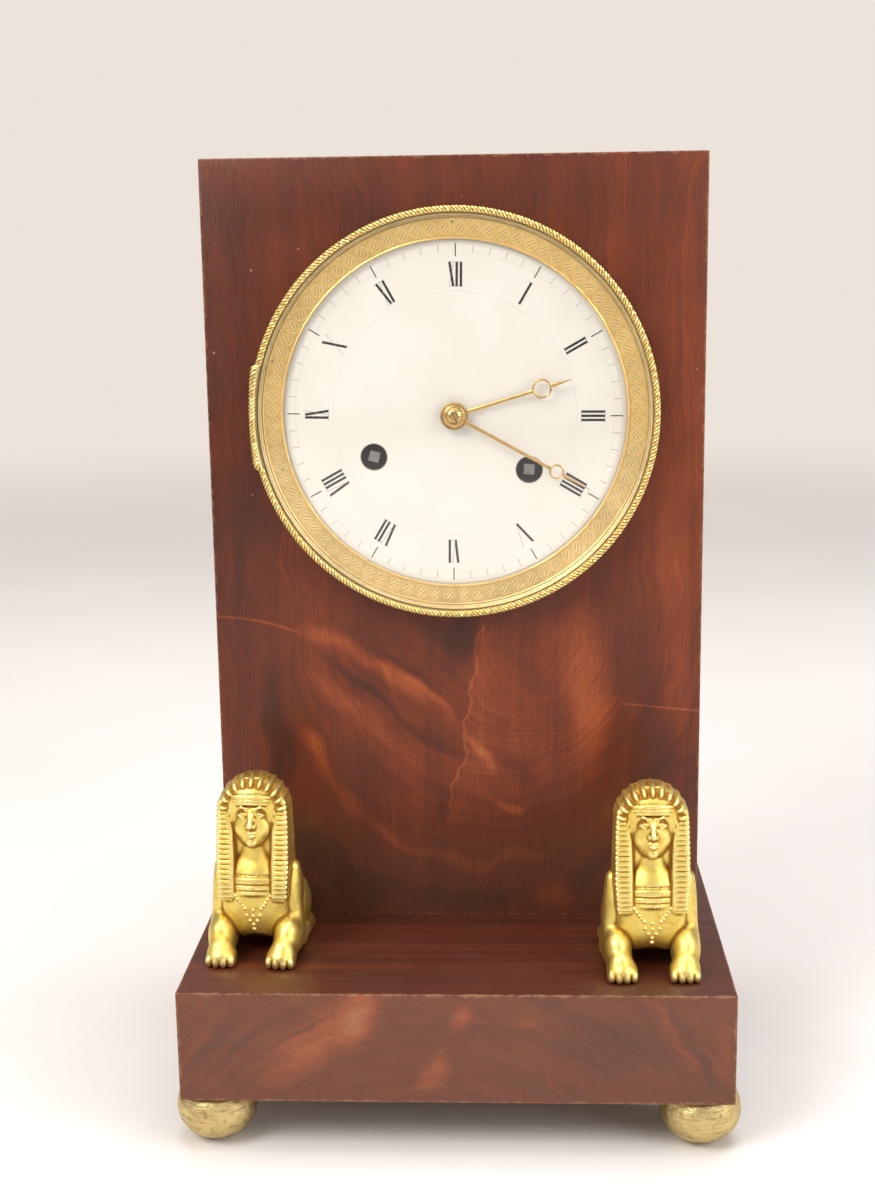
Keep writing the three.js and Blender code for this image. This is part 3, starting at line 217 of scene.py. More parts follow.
# shader trees
class Graph:
    def __init__(self, tree):
        self.tree = tree

    def node(self, kind, inputs=None, **settings):
        made = self.tree.nodes.new(kind)
        for key, value in settings.items():
            setattr(made, key, value)
        for key, value in (inputs or {}).items():
            self.put(made.inputs[key], value)
        return made

    def put(self, socket, value):
        if isinstance(value, bpy.types.NodeSocket):
            self.tree.links.new(value, socket)
        else:
            socket.default_value = value

    def math(self, operation, a, b=0.0, c=None, clamp=False):
        values = {0: a, 1: b} if c is None else {0: a, 1: b, 2: c}
        made = self.node("ShaderNodeMath", values, operation=operation, use_clamp=clamp)
        return made.outputs[0]

    def times(self, a, b):
        return self.math("MULTIPLY", a, b)

    def plus(self, a, b):
        return self.math("ADD", a, b)

    def minus(self, a, b):
        return self.math("SUBTRACT", a, b)

    def over(self, a, b):
        return self.math("DIVIDE", a, b)

    def least(self, a, b):
        return self.math("MINIMUM", a, b)

    def most(self, a, b):
        return self.math("MAXIMUM", a, b)

    def timesPlus(self, a, b, c):
        return self.math("MULTIPLY_ADD", a, b, c)

    def varied(self, value, noise, amount):
        # value moved up and down by a noise that runs from 0 to 1
        return self.timesPlus(self.minus(noise, 0.5), amount, value)

    def fade(self, value, full, none):
        # 1 where the size of value is up to full, 0 from none on
        return self.smooth(self.math("ABSOLUTE", value), none, full)

    def vector(self, operation, a, b=(0, 0, 0)):
        made = self.node("ShaderNodeVectorMath", {0: a}, operation=operation)
        if operation == "SCALE":
            self.put(made.inputs["Scale"], b)
        else:
            self.put(made.inputs[1], b)
        return made.outputs["Value"] if operation in ("LENGTH", "DOT_PRODUCT") else made.outputs[0]

    def mix(self, share, a, b):
        made = self.node("ShaderNodeMix", data_type="RGBA", blend_type="MIX", clamp_factor=True)
        for key, value in ((0, share), (6, a), (7, b)):
            self.put(made.inputs[key], (*value, 1) if isinstance(value, tuple) else value)
        return made.outputs[2]

    def mixNumbers(self, share, a, b):
        return self.node("ShaderNodeMix", {0: share, 2: a, 3: b}).outputs[0]

    def noise(self, vector, scale, detail=3.0, rough=0.5, warp=0.0):
        values = {"Vector": vector, "Scale": scale, "Detail": detail, "Roughness": rough, "Distortion": warp}
        return self.node("ShaderNodeTexNoise", values).outputs[0]

    def smooth(self, value, low, high, toLow=0.0, toHigh=1.0):
        values = {"Value": value, "From Min": low, "From Max": high, "To Min": toLow, "To Max": toHigh}
        return self.node("ShaderNodeMapRange", values, interpolation_type="SMOOTHSTEP").outputs[0]

    def ramp(self, value, stops):
        made = self.node("ShaderNodeValToRGB", {0: value})
        marks = made.color_ramp.elements
        while len(marks) < len(stops):
            marks.new(0.5)
        for mark, (position, colour) in zip(marks, stops):
            mark.position = position
            mark.color = (*colour, 1)
        return made.outputs[0]

    def split(self, vector):
        return self.node("ShaderNodeSeparateXYZ", {0: vector}).outputs

    def join(self, x=0.0, y=0.0, z=0.0):
        return self.node("ShaderNodeCombineXYZ", {0: x, 1: y, 2: z}).outputs[0]

    def length(self, x=0.0, y=0.0, z=0.0):
        return self.vector("LENGTH", self.join(x, y, z))

    def drifted(self, place, scale, reach, **values):
        # place moved about by up to half the reach, in wide soft waves
        values = {"Vector": place, "Scale": scale, **values}
        drift = self.node("ShaderNodeTexNoise", values).outputs[1]
        return self.vector("ADD", place, self.vector("SCALE", self.vector("SUBTRACT", drift, (0.5, 0.5, 0.5)), reach))

    def mapped(self, vector, scale=(1, 1, 1), turn=(0, 0, 0), move=(0, 0, 0)):
        values = {"Vector": vector, "Scale": scale, "Rotation": turn, "Location": move}
        return self.node("ShaderNodeMapping", values).outputs[0]

    def stretched(self, vector, scale, detail, rough=0.5, **moves):
        # noise whose waves are stretched differently along each axis
        return self.noise(self.mapped(vector, scale, **moves), 1.0, detail, rough)

    def place(self):
        # object coordinates in millimetres
        here = self.node("ShaderNodeTexCoord").outputs["Object"]
        return self.vector("SCALE", here, 1 / mm)

    def dialPlace(self, place):
        # millimetres from the middle of the dial
        return self.vector("SUBTRACT", place, tuple(v / mm for v in dialCentre))


def groupOf(name, inputs, outputs, build):
    # an input without a value is a vector, and every output is a number
    tree = bpy.data.node_groups.new(name, "ShaderNodeTree")
    for socket, value in inputs.items():
        kind = "NodeSocketVector" if value is None else "NodeSocketFloat"
        made = tree.interface.new_socket(name=socket, in_out="INPUT", socket_type=kind)
        if value is not None:
            made.default_value = value
    for socket in outputs:
        tree.interface.new_socket(name=socket, in_out="OUTPUT", socket_type="NodeSocketFloat")
    graph = Graph(tree)
    source = graph.node("NodeGroupInput")
    result = graph.node("NodeGroupOutput")
    for socket, value in build(graph, source.outputs).items():
        tree.links.new(value, result.inputs[socket])
    return tree


def useGroup(graph, tree, **values):
    made = graph.node("ShaderNodeGroup", node_tree=tree)
    for key, value in values.items():
        graph.put(made.inputs[key], value)
    return made.outputs


def newMaterial(name, build, **settings):
    material = bpy.data.materials.new(name)
    material.use_nodes = True
    tree = material.node_tree
    tree.nodes.clear()
    graph = Graph(tree)
    shader = graph.node("ShaderNodeBsdfPrincipled")
    for key, value in settings.items():
        shader.inputs[socketNames[key]].default_value = value
    result = graph.node("ShaderNodeOutputMaterial")
    tree.links.new(shader.outputs[0], result.inputs[0])
    for key, value in build(graph).items():
        if key == "height":
            depth, strength = value
            bump = graph.node("ShaderNodeBump", {"Height": depth, "Strength": strength, "Distance": mm})
            tree.links.new(bump.outputs[0], shader.inputs["Normal"])
        else:
            graph.put(shader.inputs[socketNames[key]], value)
    return material


socketNames = {
    "colour": "Base Color",
    "rough": "Roughness",
    "metal": "Metallic",
    "coat": "Coat Weight",
    "coatRough": "Coat Roughness",
    "specular": "Specular IOR Level",
    "ior": "IOR",
    "transmission": "Transmission Weight",
    "alpha": "Alpha",
}


# shared effects
def edgeBuild(graph, given):
    # 1 on the edges of a box, 0 from a rough distance of about the width on
    low = graph.vector("SUBTRACT", given["Place"], given["Low"])
    high = graph.vector("SUBTRACT", given["High"], given["Place"])
    pairs = zip(graph.split(low), graph.split(high))
    x, y, z = [graph.math("ABSOLUTE", graph.least(a, b)) for a, b in pairs]
    distance = graph.most(graph.least(x, y), graph.least(graph.most(x, y), z))
    chips = graph.noise(given["Place"], 0.35, 5.0, 0.7)
    reach = graph.times(given["Width"], graph.smooth(chips, 0.35, 0.75, 0.15, 1.6))
    return {"Wear": graph.math("SUBTRACT", 1.0, graph.over(distance, reach), clamp=True)}


def grainBuild(graph, given):
    # ribbon stripes, fibres and pores that run along Z of the given place
    warp = graph.stretched(given["Place"], (0.02, 0.02, 0.008), 2.0)
    bent = graph.vector("ADD", given["Place"], graph.join(graph.times(warp, given["Wander"])))
    ribbon = graph.stretched(bent, (0.11, 0.11, 0.0035), 3.0, 0.55)
    fibre = graph.stretched(bent, (1.7, 1.7, 0.025), 4.0, 0.6)
    pores = graph.stretched(bent, (4.5, 4.5, 0.16), 2.0, 0.5)
    stripe = graph.plus(graph.times(ribbon, 0.62), graph.times(fibre, 0.38))
    return {"Stripe": stripe, "Pore": graph.smooth(pores, 0.6, 0.72), "Fibre": fibre}


def handlingBuild(graph, given):
    # fine scratches and smears that change how a polished surface shines
    smear = graph.noise(given["Place"], 0.05, 4.0, 0.6, 0.6)
    scratch = graph.stretched(given["Place"], (0.5, 0.5, 6.0), 2.0, turn=(0.3, 0.7, 0.2))
    rough = graph.plus(graph.smooth(smear, 0.3, 0.7, 0.0, 0.7), graph.smooth(scratch, 0.55, 0.75, 0.0, 0.3))
    return {"Rough": rough}


edgeWear = groupOf("edge wear", {"Place": None, "Low": None, "High": None, "Width": 0.5}, ["Wear"], edgeBuild)
woodGrain = groupOf("wood grain", {"Place": None, "Wander": 9.0}, ["Stripe", "Pore", "Fibre"], grainBuild)
handling = groupOf("handling", {"Place": None}, ["Rough"], handlingBuild)


# camera at the photograph's angle
cameraAt = {
    "place": (20.97, -606.15, 299.1),  # millimetres
    "yaw": -0.0473, "pitch": 0.2001, "roll": -0.0142,
    "focal": 1679.6, "pictureHeight": 1200,  # pixels
    "sensor": 36, "near": 0.01, "far": 50,
}


def makeCamera(given):
    yaw, pitch, roll = given["yaw"], given["pitch"], given["roll"]
    forward = Vector((math.sin(yaw) * math.cos(pitch), math.cos(yaw) * math.cos(pitch), -math.sin(pitch)))
    right = Vector((math.cos(yaw), -math.sin(yaw), 0))
    up = right.cross(forward)
    side = math.cos(roll) * right + math.sin(roll) * up
    top = math.cos(roll) * up - math.sin(roll) * right
    turn = Matrix((side, top, -forward)).transposed().to_4x4()
    lens = bpy.data.cameras.new("camera")
    lens.sensor_fit = "VERTICAL"
    lens.sensor_height = given["sensor"]
    lens.lens = given["focal"] / given["pictureHeight"] * lens.sensor_height
    lens.clip_start = given["near"]
    lens.clip_end = given["far"]
    camera = linked("camera", lens)
    camera.matrix_world = Matrix.Translation(Vector(given["place"]) * mm) @ turn
    bpy.context.scene.camera = camera


makeCamera(cameraAt)
bpy.context.scene.view_settings.view_transform = "Standard"  # plain colours, as the photograph has

# soft studio light: one large lamp high on the left, one on the right, one above
# place, aim and size in millimetres, power in watts, colour
lamps = {
    "keyLamp": ((-900, -900, 1250), (0, 0, 190), 900, 21.0, (1.0, 0.965, 0.93)),
    "fillLamp": ((1050, -700, 700), (0, 0, 170), 900, 9.0, (0.96, 0.97, 1.0)),
    "topLamp": ((150, 100, 1500), (0, 0, 100), 1200, 16.0, (1.0, 0.98, 0.97)),
}
for lampName, (spot, aim, width, power, tint) in lamps.items():
    light = bpy.data.lights.new(lampName, "AREA")
    light.shape = "DISK"
    light.size = width * mm
    light.energy = power
    light.color = tint
    holder = linked(lampName, light)
    holder.location = Vector(spot) * mm
    holder.rotation_euler = (Vector(aim) * mm - holder.location).to_track_quat("-Z", "Y").to_euler()

studio = {
    "ambient": (0.45, 0.415, 0.40),  # light that falls in from all round
    "wall": (0.84, 0.765, 0.705),  # what the camera sees behind the clock
    "floorRadius": 3000, "floorSides": 64, "fadeFrom": 700, "fadeTo": 2300,
}


def makeWorld(given):
    world = bpy.data.worlds.new("studio")
    bpy.context.scene.world = world
    world.use_nodes = True
    graph = Graph(world.node_tree)
    seen = graph.node("ShaderNodeLightPath").outputs["Is Camera Ray"]
    background = world.node_tree.nodes["Background"]
    graph.put(background.inputs[0], graph.mix(seen, given["ambient"], given["wall"]))
    background.inputs[1].default_value = 1.0


makeWorld(studio)


def floorPaper(graph):
    place = graph.place()
    x, y, z = graph.split(place)
    alpha = graph.smooth(graph.length(x, y), studio["fadeFrom"], studio["fadeTo"], 1.0, 0.0)
    mottle = graph.noise(place, 0.004, 3.0)
    tone = graph.ramp(mottle, [(0.3, (0.74, 0.715, 0.695)), (0.7, (0.79, 0.77, 0.75))])
    return {"colour": tone, "alpha": alpha}


def makeFloor(given):
    sides, reach = given["floorSides"], given["floorRadius"] * mm
    turns = [fullTurn * i / sides for i in range(sides)]
    points = [(0, 0, 0)] + [(reach * math.cos(a), reach * math.sin(a), 0) for a in turns]
    faces = [(0, i + 1, (i + 1) % sides + 1) for i in range(sides)]
    paper = newMaterial("floor paper", floorPaper, rough=0.9, specular=0.2)
    newPiece("floor", points, faces, smooth=False, material=paper)


makeFloor(studio)
print("stage: camera, lamps and floor")


# wood
woods = {
    "dark": (0.036, 0.0105, 0.0065),
    "deep": (0.066, 0.0175, 0.0085),
    "body": (0.124, 0.0260, 0.0090),
    "warm": (0.208, 0.0425, 0.0115),
    "flame": (0.340, 0.0800, 0.0230),
    "pale": (0.400, 0.1600, 0.0650),
    "worn": (0.340, 0.1750, 0.0950),
    "dusty": (0.205, 0.1000, 0.0660),
}


def strokeBuild(graph, given):
    # one soft long spot, its length along its own turned X
    offset = graph.vector("SUBTRACT", given["Place"], given["Centre"])
    values = {"Vector": offset, "Axis": (0, 1, 0), "Angle": given["Turn"]}
    turned = graph.node("ShaderNodeVectorRotate", values, rotation_type="AXIS_ANGLE").outputs[0]
    x, y, z = graph.split(turned)
    bow = graph.times(graph.times(x, x), given["Bow"])
    away = graph.length(graph.over(x, given["Length"]), graph.over(graph.minus(z, bow), given["Width"]))
    return {"Mask": graph.smooth(away, 1.0, 0.15)}


strokeInputs = {"Place": None, "Centre": None, "Turn": 0.0, "Length": 30.0, "Width": 8.0, "Bow": 0.0}
stroke = groupOf("figure stroke", strokeInputs, ["Mask"], strokeBuild)


def figureTone(graph, place, start, strokes):
    # adds every stroke of a figure to a plain tone
    tone = start
    for x, z, turn, length, width, amount, *bow in strokes:
        values = {"Place": place, "Centre": (x, 0, z), "Turn": math.radians(turn), "Length": length, "Width": width}
        mask = useGroup(graph, stroke, Bow=bow[0] if bow else 0.0, **values)["Mask"]
        tone = graph.timesPlus(mask, amount, tone)
    return tone


# crotch figure below the dial: x, z, turn in degrees, half length, half width, amount and, where bent, bow
caseFigure = [
    (77, 165, 90, 60, 14, 0.08), (-58, 316, 0, 56, 22, -0.07), (-84, 235, 90, 130, 26, -0.12),
    (80, 235, 90, 130, 30, 0.10), (0, 318, 0, 80, 16, -0.06), (5, 128, 0, 62, 46, 0.13),
    (47, 144, 90, 52, 12, 0.28), (36, 160, 86, 30, 9, 0.10), (-24, 151, -37, 34, 5.5, 0.24),
    (-40, 139, -42, 25, 6, 0.16), (-9, 143, -42, 22, 3.5, 0.18), (-47, 163, -28, 18, 5, 0.18),
    (-33, 145, -38, 24, 3, -0.20), (-15, 150, -41, 22, 2.6, -0.18), (-10, 127, -30, 20, 4.5, -0.14),
    (3, 167, 84, 20, 8, -0.30), (-6, 169, -50, 15, 7, -0.14), (-51, 121, -60, 18, 5, 0.21),
    (-39, 103, -50, 14, 4.2, 0.15), (-23, 89, -32, 17, 3, 0.16), (-2, 81, -8, 20, 4.4, 0.16, 0.004),
    (21, 82, 12, 18, 3, 0.14), (8, 120, -68, 15, 3.2, 0.20), (19, 100, -30, 11, 2.2, 0.20),
    (21, 114, -52, 14, 6, -0.09), (-3, 103, 70, 11, 5, -0.10), (-26, 124, -40, 24, 10, 0.10),
    (36, 68, -64, 11, 9, 0.22), (48, 78, 44, 15, 8, -0.26), (-67, 130, 90, 44, 9, -0.22),
    (-50, 84, -48, 26, 11, -0.26), (-36, 68, 0, 28, 10, -0.22), (5, 66, 0, 28, 7, -0.16),
    (71, 122, 90, 70, 9, -0.12), (-34, 70, -62, 14, 0.9, 0.16), (-49, 72, -68, 12, 0.8, 0.12),
]
# plinth front: streaks fan up to the right on the left, then a long tan patch, small pale spots, dark streaks
plinthFigure = [
    (-45, 43, 34, 36, 12.5, 0.37), (-31, 52, 55, 14, 9.5, 0.22), (-52, 44, 36, 22, 1.0, -0.24, 0.004),
    (-81, 41, 48, 27, 3.4, -0.24), (-72, 40, 45, 26, 2.4, -0.18), (-76, 47, 47, 24, 1.8, 0.16),
    (-88, 37, 62, 22, 3, 0.12), (2, 49, 50, 9, 4.6, 0.33), (-8, 30, 64, 12, 6.5, 0.31), (23, 48, 30, 8, 4, 0.15),
    (52, 42, -8, 26, 14, -0.22), (34, 25, -66, 8, 1.2, 0.20), (74, 44, -62, 22, 3.4, 0.15),
    (80, 40, -60, 24, 3.6, -0.18), (64, 50, -58, 16, 2.4, -0.14), (90, 38, 90, 20, 4, 0.12),
]


woodStops = [(0.0, "dark"), (0.3, "deep"), (0.5, "body"), (0.66, "warm"), (0.84, "flame"), (1.0, "pale")]


def woodBase(graph, place, tone, grain, lights, box, finish):
    # the shared end of every mahogany: tone to colour, pores, worn edges, polish
    level = graph.varied(tone, grain["Stripe"], finish["contrast"])
    colour = graph.ramp(level, [(at, woods[name]) for at, name in woodStops])
    colour = graph.mix(finish.get("dust", 0.0), colour, woods["dusty"])
    colour = graph.mix(graph.times(grain["Pore"], 0.5), colour, woods["dark"])
    worn = useGroup(graph, edgeWear, Place=place, Low=box[0], High=box[1], Width=finish["edge"])["Wear"]
    if lights is not None:
        worn = graph.most(worn, lights)
    colour = graph.mix(graph.times(worn, finish["wear"]), colour, woods["worn"])
    touched = useGroup(graph, handling, Place=place)
    rough = graph.timesPlus(touched["Rough"], finish["smear"], finish["rough"])
    rough = graph.timesPlus(worn, 0.25, rough)
    polish = graph.times(graph.minus(1.0, worn), finish["coat"])
    height = graph.timesPlus(grain["Pore"], -0.6, graph.times(grain["Fibre"], 0.25))
    return {"colour": colour, "rough": rough, "coat": polish, "height": (height, 0.25)}


def boxInMm(low, high):
    return tuple(v / mm for v in low), tuple(v / mm for v in high)


woodFinish = {"contrast": 0.42, "edge": 1.0, "wear": 0.7, "rough": 0.40, "smear": 0.18, "coat": 0.16}
ledgeFinish = {**woodFinish, "coat": 0.32, "rough": 0.36}
apronFinish = {**woodFinish, "edge": 1.3, "wear": 0.8, "coat": 0.12, "dust": 0.42}
apronSideFinish = {**woodFinish, "dust": 0.3}
caseBox = boxInMm(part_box("case_front")[0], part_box("case_back")[1])
plinthLow, plinthHigh = boxInMm(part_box("plinth_front")[0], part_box("plinth_top")[1])
plinthBox = (plinthLow, (plinthHigh[0], -plinthLow[1], plinthHigh[2]))


def fineLines(graph, flow, across, along, reach, detail, rough):
    # veins that follow the levels of flow and change slowly along the board
    spot = graph.join(graph.times(flow, across), 0.0, graph.times(along, reach))
    return graph.noise(spot, 1.0, detail, rough)


def ovalAway(graph, place, centre, scale):
    return graph.vector("LENGTH", graph.vector("MULTIPLY", graph.vector("SUBTRACT", place, centre), scale))


def caseFrontVeneer(graph):
    place = graph.place()
    bent = graph.drifted(place, 0.035, 17.0, Detail=1.6)
    tone = figureTone(graph, bent, 0.455, caseFigure)
    # fine lines follow one wide U, and small ovals inside it to the right; at the sides they stand upright
    wide = ovalAway(graph, bent, (15, 0, 175), (1.28, 0, 1.05))
    oval = ovalAway(graph, bent, (29, 0, 168), (1.15, 0, 0.85))
    x, y, z = graph.split(bent)
    flow = graph.mixNumbers(graph.smooth(oval, 24, 44), oval, wide)
    upright = graph.most(graph.smooth(wide, 96, 118), graph.smooth(z, 168, 182))
    flow = graph.mixNumbers(upright, flow, x)
    tone = graph.varied(tone, fineLines(graph, flow, 2.3, z, 0.03, 2.0, 0.6), 0.17)
    tone = graph.varied(tone, fineLines(graph, flow, 0.40, z, 0.012, 5.0, 0.62), 0.31)
    cloud = graph.stretched(bent, (0.03, 0.03, 0.02), 4.0, 0.55)
    tone = graph.varied(tone, cloud, 0.40)
    # a crack that wanders down from the bezel, with a paler band on its right
    x, y, z = graph.split(place)
    wander = graph.noise(graph.join(0.0, 0.0, graph.times(z, 0.07)), 1.0, 2.0, 0.5)
    crackX = graph.varied(graph.timesPlus(z, 0.17, -20.0), wander, 16.0)
    crackSpan = graph.times(graph.smooth(z, 92, 104), graph.smooth(z, 172, 168))
    rightOf = graph.minus(x, crackX)
    tone = graph.timesPlus(graph.times(graph.fade(rightOf, 0.2, 0.9), crackSpan), 0.16, tone)
    beside = graph.times(graph.smooth(rightOf, -0.6, 0.8), graph.smooth(rightOf, 16, 2))
    tone = graph.timesPlus(graph.times(beside, crackSpan), 0.09, tone)
    # two thin pale lines of an old veneer repair
    fromLeft = graph.plus(x, 88.0)
    leftLine = graph.minus(graph.timesPlus(graph.times(fromLeft, fromLeft), -0.0065, 173.2), z)
    leftLine = graph.times(graph.fade(leftLine, 0.2, 0.8), graph.smooth(x, -54, -62))
    rightLine = graph.minus(graph.timesPlus(x, -0.1, 146.3), z)
    rightLine = graph.times(graph.fade(rightLine, 0.15, 0.6), graph.smooth(x, 57, 62))
    tone = graph.plus(tone, graph.times(graph.most(leftLine, rightLine), 0.22))
    grain = useGroup(graph, woodGrain, Place=place, Wander=10.0)
    specks = graph.smooth(graph.noise(place, 0.42, 0.0), 0.865, 0.885)
    # lower down the front turns greyer: dust, and a painted sheen
    dustAndSheen = graph.times(graph.smooth(z, 112, 70), 0.27)
    return woodBase(graph, place, tone, grain, specks, caseBox, {**woodFinish, "dust": dustAndSheen})


def plainVeneer(turn, start, box, finish=woodFinish):
    def build(graph):
        place = graph.place()
        along = graph.mapped(place, turn=turn) if any(turn) else place
        grain = useGroup(graph, woodGrain, Place=along, Wander=12.0)
        cloud = graph.stretched(along, (0.02, 0.02, 0.006), 3.0, move=(3, 5, 1))
        streaks = graph.stretched(along, (0.16, 0.16, 0.004), 5.0, 0.6, move=(1, 8, 2))
        tone = graph.varied(graph.varied(start, cloud, 0.32), streaks, 0.45)
        return woodBase(graph, place, tone, grain, None, box, finish)
    return build


def plinthFrontVeneer(graph):
    place = graph.place()
    bent = graph.drifted(place, 0.06, 11.0, Detail=4.0, Roughness=0.6)
    tone = figureTone(graph, bent, 0.47, plinthFigure)
    # fine lines fan out: up to the right on the left side, down to the right on the right side
    x, y, z = graph.split(bent)
    fan = graph.plus(z, graph.times(x, graph.timesPlus(x, 0.0062, 0.04)))
    tone = graph.varied(tone, fineLines(graph, fan, 0.22, x, 0.01, 4.0, 0.6), 0.40)
    tone = graph.varied(tone, graph.stretched(bent, (0.035, 0.03, 0.05), 4.0, 0.6), 0.3)
    along = graph.mapped(place, turn=(0, math.radians(62), 0))
    grain = useGroup(graph, woodGrain, Place=along, Wander=10.0)
    return woodBase(graph, place, tone, grain, None, plinthBox, apronFinish)


oakStops = [(0.2, (0.085, 0.045, 0.022)), (0.5, (0.19, 0.105, 0.05)), (0.8, (0.30, 0.175, 0.085))]


def oakBoard(turn, box):
    def build(graph):
        place = graph.place()
        grain = useGroup(graph, woodGrain, Place=graph.mapped(place, turn=turn), Wander=6.0)
        colour = graph.ramp(graph.timesPlus(grain["Pore"], -0.25, grain["Stripe"]), oakStops)
        worn = useGroup(graph, edgeWear, Place=place, Low=box[0], High=box[1], Width=1.0)["Wear"]
        colour = graph.mix(graph.times(worn, 0.5), colour, (0.34, 0.22, 0.12))
        height = graph.timesPlus(grain["Pore"], -1.0, grain["Fibre"])
        return {"colour": colour, "rough": graph.smooth(grain["Fibre"], 0.2, 0.8, 0.62, 0.8), "height": (height, 0.5)}
    return build


upward, sideways, backward = (0, 0, 0), (0, quarter, 0), (quarter, 0, 0)
veneers = {
    # what the grain is built by, coat roughness, specular
    "crotch": (caseFrontVeneer, 0.2, 0.22),
    "side": (plainVeneer(upward, 0.46, caseBox), 0.2, 0.25),
    "top": (plainVeneer(sideways, 0.44, caseBox), 0.2, 0.3),
    "ledge": (plainVeneer(sideways, 0.34, plinthBox, ledgeFinish), 0.22, 0.3),
    "plinth": (plinthFrontVeneer, 0.25, 0.2),
    "plinth side": (plainVeneer(backward, 0.46, plinthBox, apronSideFinish), 0.22, 0.25),
}
mahogany = {
    name: newMaterial("mahogany " + name + " veneer", build, coatRough=coatRough, specular=specular)
    for name, (build, coatRough, specular) in veneers.items()
}
oak = {
    "back": newMaterial("oak back board", oakBoard(upward, caseBox)),
    "bottom": newMaterial("oak bottom board", oakBoard(sideways, plinthBox)),
}


# boards: every free edge is slightly rounded, an edge that butts on the next board stays sharp
boardEdge = {
    "round": 0.45, "segments": 2, "sharpAngle": 25, "seatHole": 63.4, "rearHole": 55.0, "holeSides": 128,
}


def board(name, material, flush=(), hole=None, sides=""):
    # flush lists (axis, place) of the faces that butt, sides names the veneers of other faces
    low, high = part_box(name)

    def butts(edge):
        return any(all(abs(v.co[axis] - at) < 1e-5 for v in edge.verts) for axis, at in flush)

    def roundEdges(mesh):
        bmesh.ops.bevel(
            mesh, geom=[edge for edge in mesh.edges if not butts(edge)], offset=boardEdge["round"] * mm,
            segments=boardEdge["segments"], profile=0.5, affect="EDGES", clamp_overlap=True,
        )

    piece = reworked(boxPiece(name + "_board", low, high), roundEdges)
    if hole:
        depth = (high.y - low.y) / mm
        profile = [(0, -depth), (hole, -depth), (hole, depth), (0, depth)]
        centre = (dialCentre.x, (low.y + high.y) / 2, dialCentre.z)
        piece = sliced(piece, turnedPiece("cutter", profile, boardEdge["holeSides"], centre))
    shade(piece, angle=boardEdge["sharpAngle"])
    finishPiece(piece, "case", material, nodes=[name])
    for side in sides.split():
        axis, sign, other = sideVeneers[side]
        if other not in list(piece.data.materials):
            piece.data.materials.append(other)
        index = list(piece.data.materials).index(other)
        for face in piece.data.polygons:
            if face.normal[axis] * sign > 0.8:
                face.material_index = index


sideVeneers = {
    # axis, sign, veneer
    "left": (0, -1, mahogany["side"]), "right": (0, 1, mahogany["side"]), "over": (2, 1, mahogany["top"]),
    "apronFront": (1, -1, mahogany["plinth"]), "apronBack": (1, 1, mahogany["plinth side"]),
    "apronLeft": (0, -1, mahogany["plinth side"]), "apronRight": (0, 1, mahogany["plinth side"]),
}
underTop = (2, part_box("plinth_front")[1].z)
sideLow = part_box("plinth_side_left")[0]
board("case_front", mahogany["crotch"], hole=boardEdge["seatHole"], sides="left right over")
board("case_side_left", mahogany["side"])
board("case_side_right", mahogany["side"])
board("case_top", mahogany["top"], sides="left right")
board("case_back", oak["back"], hole=boardEdge["rearHole"], sides="left right over")
board("plinth_top", mahogany["ledge"], flush=[underTop], sides="apronFront apronLeft apronRight apronBack")
board("plinth_front", mahogany["plinth"], flush=[underTop], sides="apronLeft apronRight")
board("plinth_back", mahogany["plinth side"], flush=[underTop])
for sideName in ("plinth_side_left", "plinth_side_right"):
    board(sideName, mahogany["plinth side"], flush=[underTop, (1, sideLow.y), (1, -sideLow.y)])
board("plinth_bottom", oak["bottom"])
print("stage: case and plinth boards")


# engine turning round the dial
windingSpots = ((-28.5, -14.4), (26.0, -19.3))
ring = {
    "outer": 68.85, "back": -1.8, "lip": -4.1, "lipWidth": 0.5, "ridge": 67.1, "ridgeY": -3.15,
    "bandInner": 61.2, "bandInnerY": -2.3, "bandGap": 0.3, "milled": 1.0, "ovals": 80, "mills": 400,
    "hatchAround": 1.75, "hatchAcross": 1.85, "ripples": 1.6, "relief": 0.07,
    "beadRadius": 0.33, "millRadius": 0.45, "sides": 256,
    # one mill: across, outward and depth of its corners
    "millCorners": (
        (-0.16, -0.5, 0), (0.16, -0.5, 0), (0.5, 0.5, 0), (0.18, 0.5, 0), (0.0, -0.5, -0.2), (0.34, 0.5, -0.2),
    ),
    # fixing pins: angle in degrees and radius of each, profile of the head
    "pins": ((90, 65.8), (163, 66.0), (197, 63.4)), "pinY": -3.12,
    "pinHead": ((0, -0.12), (0.28, -0.1), (0.36, 0.02), (0.36, 0.6), (0, 0.6)),
}


def hatching(graph, turns, t):
    # relief of the turning: turns counts ovals round the dial, t runs from -1 to 1 across the band
    s = graph.timesPlus(graph.math("FRACT", turns), 2.0, -1.0)
    length = graph.math("SQRT", graph.plus(graph.times(s, s), graph.times(t, t)))
    phase = graph.timesPlus(s, ring["hatchAround"], graph.times(t, ring["hatchAcross"]))
    wave = graph.math("SINE", graph.times(phase, fullTurn))
    ripple = graph.times(graph.math("SINE", graph.times(length, ring["ripples"] * fullTurn)), 0.35)
    return graph.timesPlus(graph.minus(wave, ripple), graph.smooth(length, 0.62, 0.5), ripple)


